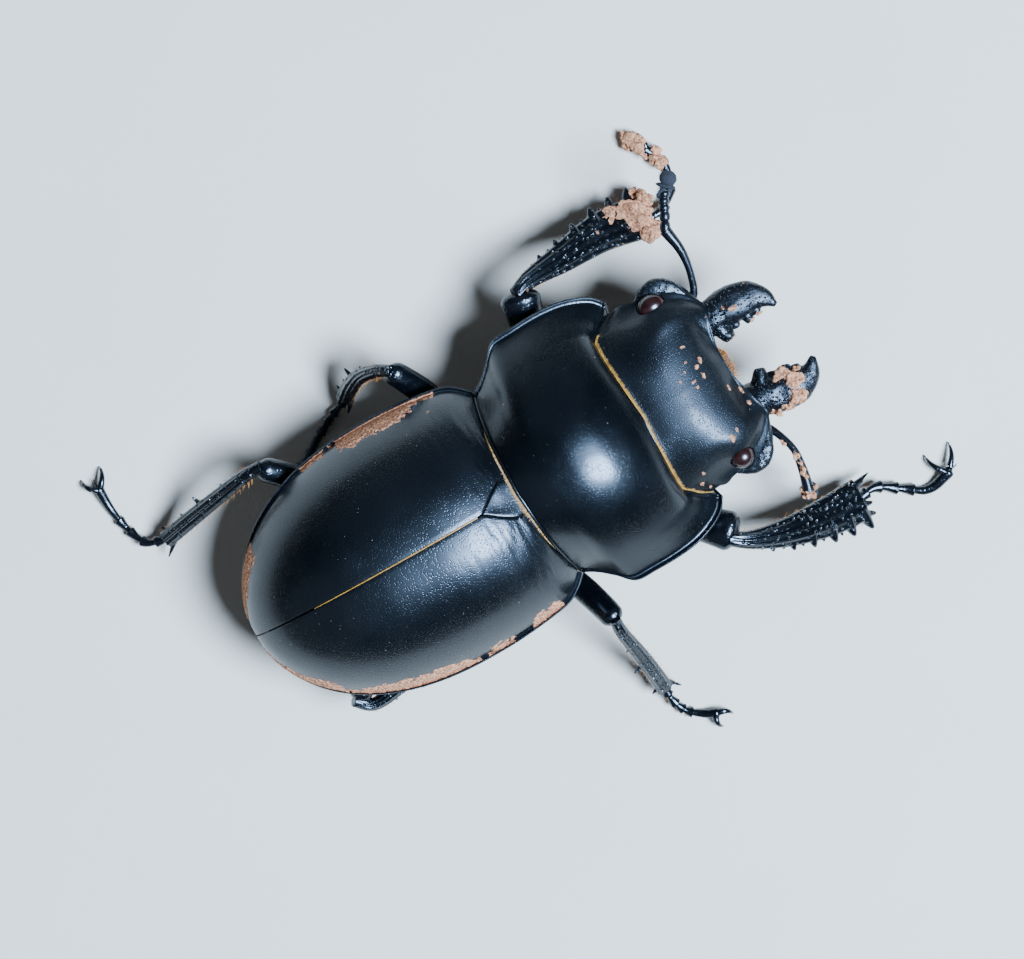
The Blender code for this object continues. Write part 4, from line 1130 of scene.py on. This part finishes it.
def leg_ways(leg, kind):
    """The way that a tibia runs and the way that its teeth point."""
    ahead = (body(*leg["tibia"][-1]) - body(*leg["tibia"][0])).normalized()
    outward = ahead.cross(Vector((0, 0, 1))).normalized()
    if kind is DIGGING and outward.x * body(*leg["coxa"][0]).x < 0:
        outward = -outward
    return ahead, outward


def tibia_skin(leg, kind):
    """The blade of the tibia with its teeth, end spines and spurs, fused."""
    wide, deep = kind["tibia"]
    path = along_path(leg["tibia"])
    ahead, outward = leg_ways(leg, kind)

    def ridge(s, x):
        return 1 + 0.13 * math.cos(math.pi * 4 * x) * min(1, s * 4)

    points = stretched(leg["tibia"], 0.35, 0.0)
    bm = sleeve(limb_place(points, wide, deep, body, 2.3, ridge), 90, 56)
    for share, length, radius, lean in kind["teeth"]:
        middle = body(*path(share))
        reach = wide(share) / 2 * MM
        root = middle + outward * reach * 0.45
        tip = middle + outward * (reach + length * MM) + ahead * lean * length * MM
        horn(root, tip, radius * 1.15, bm, outward * 0.1 * length, 14, 10, 0.15)
    end = body(*leg["tibia"][-1])
    reach = wide(1) / 2 * MM
    size = kind["spines"]
    for share, long, thick in END_SPINES:
        root = end + outward * reach * share - ahead * 0.45 * MM
        tip = root + (ahead * (long + 0.25) * size + outward * share * 0.35) * MM
        horn(root, tip, thick * size, bm, point=0.2)
    inner = end - outward * reach * 0.6
    tip = inner + (ahead * (0.5 + 0.6 * size) - outward * 0.65) * MM
    horn(inner - ahead * 0.5 * MM, tip, 0.14 + 0.12 * size, bm, (0, 0, 0.1))
    return melt(bm, 0.045, 2)


def foot_skin(leg, kind):
    """Five foot joints, each a small trumpet, the pad between the claws and the two claws."""
    path = along_path(stretched(leg["tarsus"], 0.25, 0.0))
    bm = bmesh.new()
    for low, high in zip(FOOT_JOINTS, FOOT_JOINTS[1:]):
        last = high == FOOT_JOINTS[-1]
        high += 0.012
        points = [path(min(1, low + (high - low) * k / 4)) for k in range(5)]

        def width(s):
            bell = 0.66 + 0.7 * s**1.6 if not last else 0.70 + 0.5 * s**0.8
            return kind["foot"] * bell * math.sqrt(max(0.05, 1 - max(0, (s - 0.9) / 0.1) ** 2))

        sleeve(limb_place(points, width, lambda s: width(s) * 0.86), 22, 20, bm)
    root, before = body(*leg["tarsus"][-1]), body(*leg["tarsus"][-2])
    ahead = (root - before).normalized()
    tips = [body(*tip) for tip in leg["claws"]]
    apart = (tips[0] - tips[1]).normalized() * 0.45
    for tip, bow in zip(tips, (apart, -apart)):
        horn(root - ahead * 0.3 * MM, tip, 0.25, bm, (bow.x, bow.y, 0.7), 12, 16, 0.12)
    pad = root + ahead * 0.55 * MM - Vector((0, 0, 0.15 * MM))
    horn(root - ahead * 0.2 * MM, pad, 0.10, bm)
    return bm


def leg_bristles(leg, kind, target, rng, row):
    """Short stiff hairs on the tibia and under the foot. Returns their places on the bake map."""
    spots = []
    ahead, outward = leg_ways(leg, kind)
    path, foot = along_path(leg["tibia"]), along_path(leg["tarsus"])
    for k in range(SHIN_HAIRS):
        share = 0.15 + 0.83 * k / (SHIN_HAIRS - 1)
        side = -1 if k % 3 else 1
        reach = kind["tibia"][0](share) / 2 * MM * 0.9
        root = body(*path(share)) + outward * side * reach
        root += Vector((0, 0, rng.uniform(-0.25, 0.2) * MM))
        way = outward * side * 0.75 + ahead * rng.uniform(0.5, 0.9)
        way += Vector((0, 0, rng.uniform(-0.4, 0.2)))
        tip = root + way.normalized() * (rng.uniform(0.25, 0.5) * MM)
        horn(root, tip, 0.022, target, (0, 0, 0), 4, 2, 0.2)
        spots.append((0.5 * share, (row + 0.5 + 0.25 * side) / len(LEGS)))
    for k in range(FOOT_HAIRS):
        share = rng.uniform(0.08, 0.62)
        way = Vector((rng.uniform(-1, 1), rng.uniform(-1, 1), rng.uniform(-0.9, -0.1))).normalized()
        root = body(*foot(share)) + way * 0.2 * MM
        tip = root + (way + ahead * 0.3).normalized() * rng.uniform(0.18, 0.38) * MM
        tip.z = max(tip.z, 0.01 * MM)
        root.z = max(root.z, 0.03 * MM)
        horn(root, tip, 0.02, target, (0, 0, 0), 4, 2, 0.2)
        spots.append((0.55 + 0.6 * share, (row + 0.5 + 0.4 * way.x) / len(LEGS)))
    return spots


print("leg shapes ready")

# %% Legs
rng = random.Random(11)
bristles = bmesh.new()
spots = []
for row, (name, leg) in enumerate(LEGS.items()):
    kind = DIGGING if name.startswith("front") else WALKING
    centre, half_sizes = leg["coxa"]
    bm = ball(centre, swelled(half_sizes, 0.08), body)
    piece(f"{name}_hip", bm, LEG_SKIN, "leg", [f"{name}_coxa"])
    wide, deep = (knee_round(size) for size in kind["femur"])
    bm = sleeve(limb_place(stretched(leg["femur"], 0.2, 0.25), wide, deep), 70, 44)
    piece(f"{name}_thigh", bm, LEG_SKIN, "leg", [f"{name}_femur"])
    piece(f"{name}_shin", tibia_skin(leg, kind), SHIN_SKIN, "leg", [f"{name}_tibia"])
    piece(f"{name}_foot", foot_skin(leg, kind), LEG_SKIN, "leg", [f"{name}_tarsus"])
    spots += leg_bristles(leg, kind, bristles, rng, row)
bake_map(bristles, spots)
piece("leg_bristles", bristles, BRISTLE, "leg")

# %% [markdown]
# Hair fringes. A row of short golden hairs on a thin golden skin closes the joint between head and
# pronotum, another lies along the hind edge of the pronotum, and the lip carries an orange brush.
# The seam between the wing cases shows a thin golden line.

# %% Fringes


def fringe(rule, count, length, unruly, radius):
    """Hairs along an edge: rule(share) gives a root and the way the hairs point."""
    bm = bmesh.new()
    spots = []
    for k in range(count):
        share = (k + rng.random()) / count
        root, way = rule(share)
        spots.append((0.02 + 0.96 * share, 0.48 + 0.005 * (k % 4)))
        stray = Vector((rng.uniform(-1, 1), rng.uniform(-1, 1), rng.uniform(-0.5, 1))) * unruly
        tip = root + (way + stray).normalized() * length * rng.uniform(0.6, 1.15) * MM
        horn(root, tip, radius, bm, (0, 0, 0.03), 4, 2, 0.25)
    bake_map(bm, spots)
    return bm


def collar(share):
    """Front edge of the pronotum, between its corners."""
    f, v, z = pronotum_top(1, -0.92 + 1.72 * share)
    return fore(f + 0.02, v, z - 0.05), (YAW @ Vector((0, -1, 0.25))).normalized()


def hind_edge(share):
    """Hind edge of the pronotum, where it covers the wing cases."""
    f, v, z = pronotum_top(0, -0.97 + 1.94 * share)
    return fore(f + 0.05, v, z - 0.15), (YAW @ Vector((0, 1, 0.05))).normalized()


def lip_brush(share):
    """Front edge of the lip."""
    v = -1.0 + 1.9 * share
    return fore(14.0, v, 6.2), (YAW @ Vector((v * 0.4, -1, 0.25))).normalized()


def collar_place(s, c):
    """Rule for the golden skin that the hairs of the collar grow from."""
    root, way = collar(s)
    x, y = ring(c)
    return root + way * (0.07 * x + 0.01) * MM + Vector((0, 0, 0.06 * MM * y))


def seam_place(s, c):
    """Rule for the golden line in the seam of the wing cases."""
    spot = elytron_point(4.2 + 11.5 * s, 0, 1)
    x, y = ring(c)
    half = 0.055 * MM * (0.35 + 0.65 * s**0.5)
    middle = Vector((body(0, 0, 0).x, spot.y, spot.z + 0.01 * MM))
    return middle + Vector((x * half, 0, y * 0.05 * MM))


rng = random.Random(5)
# Each fringe: number of hairs, length, unruliness and radius
piece("collar_fringe", fringe(collar, 750, 0.20, 0.30, 0.024), GOLD, "pronotum_shield")
piece("collar_skin", sleeve(collar_place, 170, 10), GOLD, "pronotum_shield")
piece("hind_fringe", fringe(hind_edge, 900, 0.42, 0.35, 0.022), GOLD, "pronotum_shield")
piece("lip_fringe", fringe(lip_brush, 120, 0.85, 0.7, 0.014), BRISTLE, "mouthparts")
piece("seam_line", sleeve(seam_place, 90, 10), GOLD, "wing_case")

# %% [markdown]
# Dried mud. The beetle has dug through red clay, which sticks in the gutters of the wing cases, on
# one front leg, on both jaws, on the head and on the right antenna. A crust is a fine grid laid
# over the surface and raised by noise. Where the noise is low it would sink below the cuticle, and
# those faces are removed. Lumps are eggs pushed in and out by noise.

# %% Mud on the wing cases
# Share of the way to the margin where the mud ends, and how noise turns into thickness
GUTTER_EDGE = 0.985
CRUST_BARE = 0.45
CRUST_THICKEST = 0.2
# Name, side, first and last station and inner edge of the band, its grid, height and seed, then
# long ovals of mud along it: middle, half length, inner reach and thickness of each
CRUSTS = (
    ("mud_left_margin", 1, 7.2, 17.0, 0.84, 380, 72, 0.28, 2.0,
     ((0.56, 0.36, 0.95, 1.0), (0.12, 0.12, 0.6, 0.75), (0.95, 0.06, 0.45, 0.6))),
    ("mud_left_tip", 1, 0.12, 3.6, 0.62, 160, 130, 0.30, 4.0, ((0.32, 0.42, 0.80, 0.95),)),
    ("mud_right_tip", -1, 0.12, 3.8, 0.60, 160, 130, 0.26, 5.5, ((0.40, 0.55, 0.55, 0.85),)),
    ("mud_right_margin", -1, 3.0, 17.4, 0.82, 460, 72, 0.26, 7.0,
     ((0.30, 0.34, 0.72, 0.95), (0.70, 0.10, 0.5, 0.75), (0.92, 0.10, 0.8, 0.95))),
)
for name, side, low, high, inner, along, around, height, seed, ovals in CRUSTS:
    bm, shares = flat_grid(along, around)
    thick = {}
    for vert, (s, c) in zip(bm.verts, shares):
        vert.co = elytron_point(low + (high - low) * s, inner + (GUTTER_EDGE - inner) * c, side)
        big = noise.noise(vert.co / (1.5 * MM) + Vector((seed, 0, 0)))
        small = noise.noise(vert.co / (0.35 * MM) + Vector((0, seed, 0)))
        tiny = noise.noise(vert.co / (0.12 * MM))
        cover = max(
            amount * (1 - ((s - middle) / half) ** 4 - ((c - 1) / reach) ** 2)
            for middle, half, reach, amount in ovals
        )
        thick[vert] = cover - CRUST_BARE + 0.32 * big + 0.30 * small + 0.14 * tiny
    bm.normal_update()
    for vert in bm.verts:
        up = vert.normal if vert.normal.z > 0 else -vert.normal
        crumbs = 0.12 * noise.noise(vert.co / (0.10 * MM)) if thick[vert] > 0 else 0
        vert.co += up * ((min(thick[vert], CRUST_THICKEST) + crumbs) * height) * MM
    gone = [face for face in bm.faces if all(thick[vert] < -0.02 for vert in face.verts)]
    bmesh.ops.delete(bm, geom=gone, context="FACES")
    piece(name, bm, MUD, "wing_case")

# %% Lumps of mud


def clump(centre, half_sizes, seed, target, frame_at):
    """A ragged lump of clay."""
    bm = ball(centre, half_sizes, frame_at, 64, 44)
    thin, wide = min(half_sizes), max(half_sizes)
    rough(bm, 0.8 * wide, 1.2 * thin + 0.1 * wide, seed)
    rough(bm, 0.4 * wide, 0.5 * thin, seed + 3)
    rough(bm, 0.14, 0.16 * thin, seed + 5)
    rough(bm, 0.06, 0.08 * thin, seed + 7)
    return merge(bm, target)


# Name, slot, frame and noise seed, then f, v, z and the three half sizes of each lump
LUMPS = (
    ("mud_front_left_leg", "leg", body, 3.7, (
        (13.6, 11.2, 2.2, 1.1, 1.1, 0.40), (12.6, 11.8, 2.6, 0.8, 0.6, 0.30),
        (14.4, 10.2, 1.9, 0.7, 0.9, 0.4), (14.9, 11.6, 1.6, 0.5, 0.7, 0.35),
        (15.0, 9.6, 1.5, 0.35, 0.45, 0.25), (16.9, 13.4, 0.75, 0.45, 0.6, 0.30),
        (16.35, 14.6, 0.85, 0.5, 1.0, 0.30), (15.9, 15.3, 0.7, 0.5, 0.6, 0.26),
        (14.6, 12.2, 1.5, 0.35, 0.4, 0.2),
    )),
    ("mud_right_jaw", "mandible_horn", jaw_frame("right", -1), 2.9, (
        (16.4, -2.0, 7.62, 0.62, 0.55, 0.24), (16.95, -2.45, 7.7, 0.55, 0.5, 0.2),
        (16.8, -3.4, 7.68, 0.55, 0.5, 0.22), (16.1, -3.75, 7.45, 0.45, 0.38, 0.22),
        (15.3, -3.9, 7.3, 0.35, 0.25, 0.2), (17.4, -1.9, 7.3, 0.3, 0.25, 0.15),
    )),
    ("mud_left_jaw", "mandible_horn", jaw_frame("left", 1), 2.3, (
        (16.2, 2.7, 7.78, 0.28, 0.16, 0.07), (15.7, 3.0, 7.72, 0.10, 0.14, 0.05),
        (16.85, 1.45, 7.15, 0.26, 0.12, 0.16), (17.4, 1.6, 7.2, 0.24, 0.12, 0.14),
        (15.3, 1.15, 7.1, 0.24, 0.14, 0.10),
    )),
    ("mud_right_scape", "antenna", fore, 1.7, (
        (14.9, -7.2, 7.42, 0.18, 0.5, 0.1), (14.75, -8.2, 7.45, 0.2, 0.4, 0.12),
        (14.42, -9.45, 6.95, 0.5, 0.45, 0.3), (14.6, -6.0, 7.35, 0.1, 0.25, 0.08),
    )),
)
for name, slot, frame_at, seed, rows in LUMPS:
    lumps = bmesh.new()
    for f, v, z, *half_sizes in rows:
        clump((f, v, z), half_sizes, seed * f + v, lumps, frame_at)
    piece(name, lumps, MUD, slot)
# Crumbs on the head: shares along and across it, then half sizes
CRUMBS = (
    (0.58, 0.35, 0.18, 0.10), (0.67, 0.17, 0.14, 0.24), (0.60, 0.13, 0.26, 0.13),
    (0.62, 0.03, 0.12, 0.22), (0.50, 0.03, 0.17, 0.10), (0.53, 0.22, 0.08, 0.08),
    (0.47, 0.15, 0.07, 0.09), (0.50, -0.03, 0.10, 0.12), (0.80, -0.22, 0.10, 0.22),
    (0.92, -0.37, 0.12, 0.24), (0.88, -0.52, 0.14, 0.20), (0.53, -0.60, 0.16, 0.30),
    (0.13, -0.86, 0.14, 0.22), (0.19, -0.78, 0.10, 0.14), (0.10, -0.94, 0.08, 0.16),
)
lumps = bmesh.new()
for s, t, long, wide in CRUMBS:
    clump(head_top(s, t), (long, wide, 0.05), 10 * s + t, lumps, fore)
piece("mud_head_crumbs", lumps, MUD, "head_shell")

# %% [markdown]
# Floor and light. The beetle stands on a plain pale floor. One soft light hangs above its front
# right and puts the broad blue-grey gleam on the pronotum, head and right wing case. Two weak ones
# fill from the left and from behind, and the dim pale room lights the rest.

# %% Floor and light
FLOOR_HALF = 1.5
ROOM_COLOUR = "#C6D4E2"
ROOM_STRENGTH = 0.06
LIT_POINT = (2, 0, 8)
floor_bm = bmesh.new()
bmesh.ops.create_grid(floor_bm, x_segments=1, y_segments=1, size=FLOOR_HALF)
floor = show("floor_sheet", floor_bm)
floor_paper = plain("floor_paper", "#DDD0BD", 0.8, "#D9CCB9", 12, relief=0.0)
floor.data.materials.append(floor_paper)
world = bpy.data.worlds.new("studio")
world.use_nodes = True
room = {"Color": linear(ROOM_COLOUR), "Strength": ROOM_STRENGTH}
join(world.node_tree, world.node_tree.nodes["Background"], room)
bpy.context.scene.world = world


def soft_light(name, way, away, size, power, colour):
    """A round light of a size and at a distance in millimetres from the pronotum, facing it."""
    lamp = bpy.data.lights.new(name, "AREA")
    lamp.shape = "DISK"
    lamp.size = size * MM
    lamp.energy = power
    lamp.color = linear(colour)[:3]
    obj = show(name, lamp)
    forward, left, up = way
    direction = Vector((left, -forward, up)).normalized()
    obj.location = body(*LIT_POINT) + direction * away * MM
    obj.rotation_euler = direction.to_track_quat("Z", "Y").to_euler()


soft_light("key_light", (0.36, -0.38, 1.0), 420, 185, 9.6, "#BCDAFF")
soft_light("fill_light", (0.3, 1.3, 1.0), 600, 700, 0.28, "#C4DAFF")
soft_light("back_light", (-1.2, -0.4, 1.0), 600, 700, 0.28, "#D6E4FF")
print(len(bpy.data.lights), "lights")

# %% Sizes
low, high = [], []
for axis in range(3):
    values = [vert.co[axis] for obj in PIECES for vert in obj.data.vertices]
    low.append(min(values))
    high.append(max(values))
print("shown size in mm:", [round((b - a) / MM, 1) for a, b in zip(low, high)])
print("triangles:", sum(len(p.vertices) - 2 for obj in PIECES for p in obj.data.polygons))
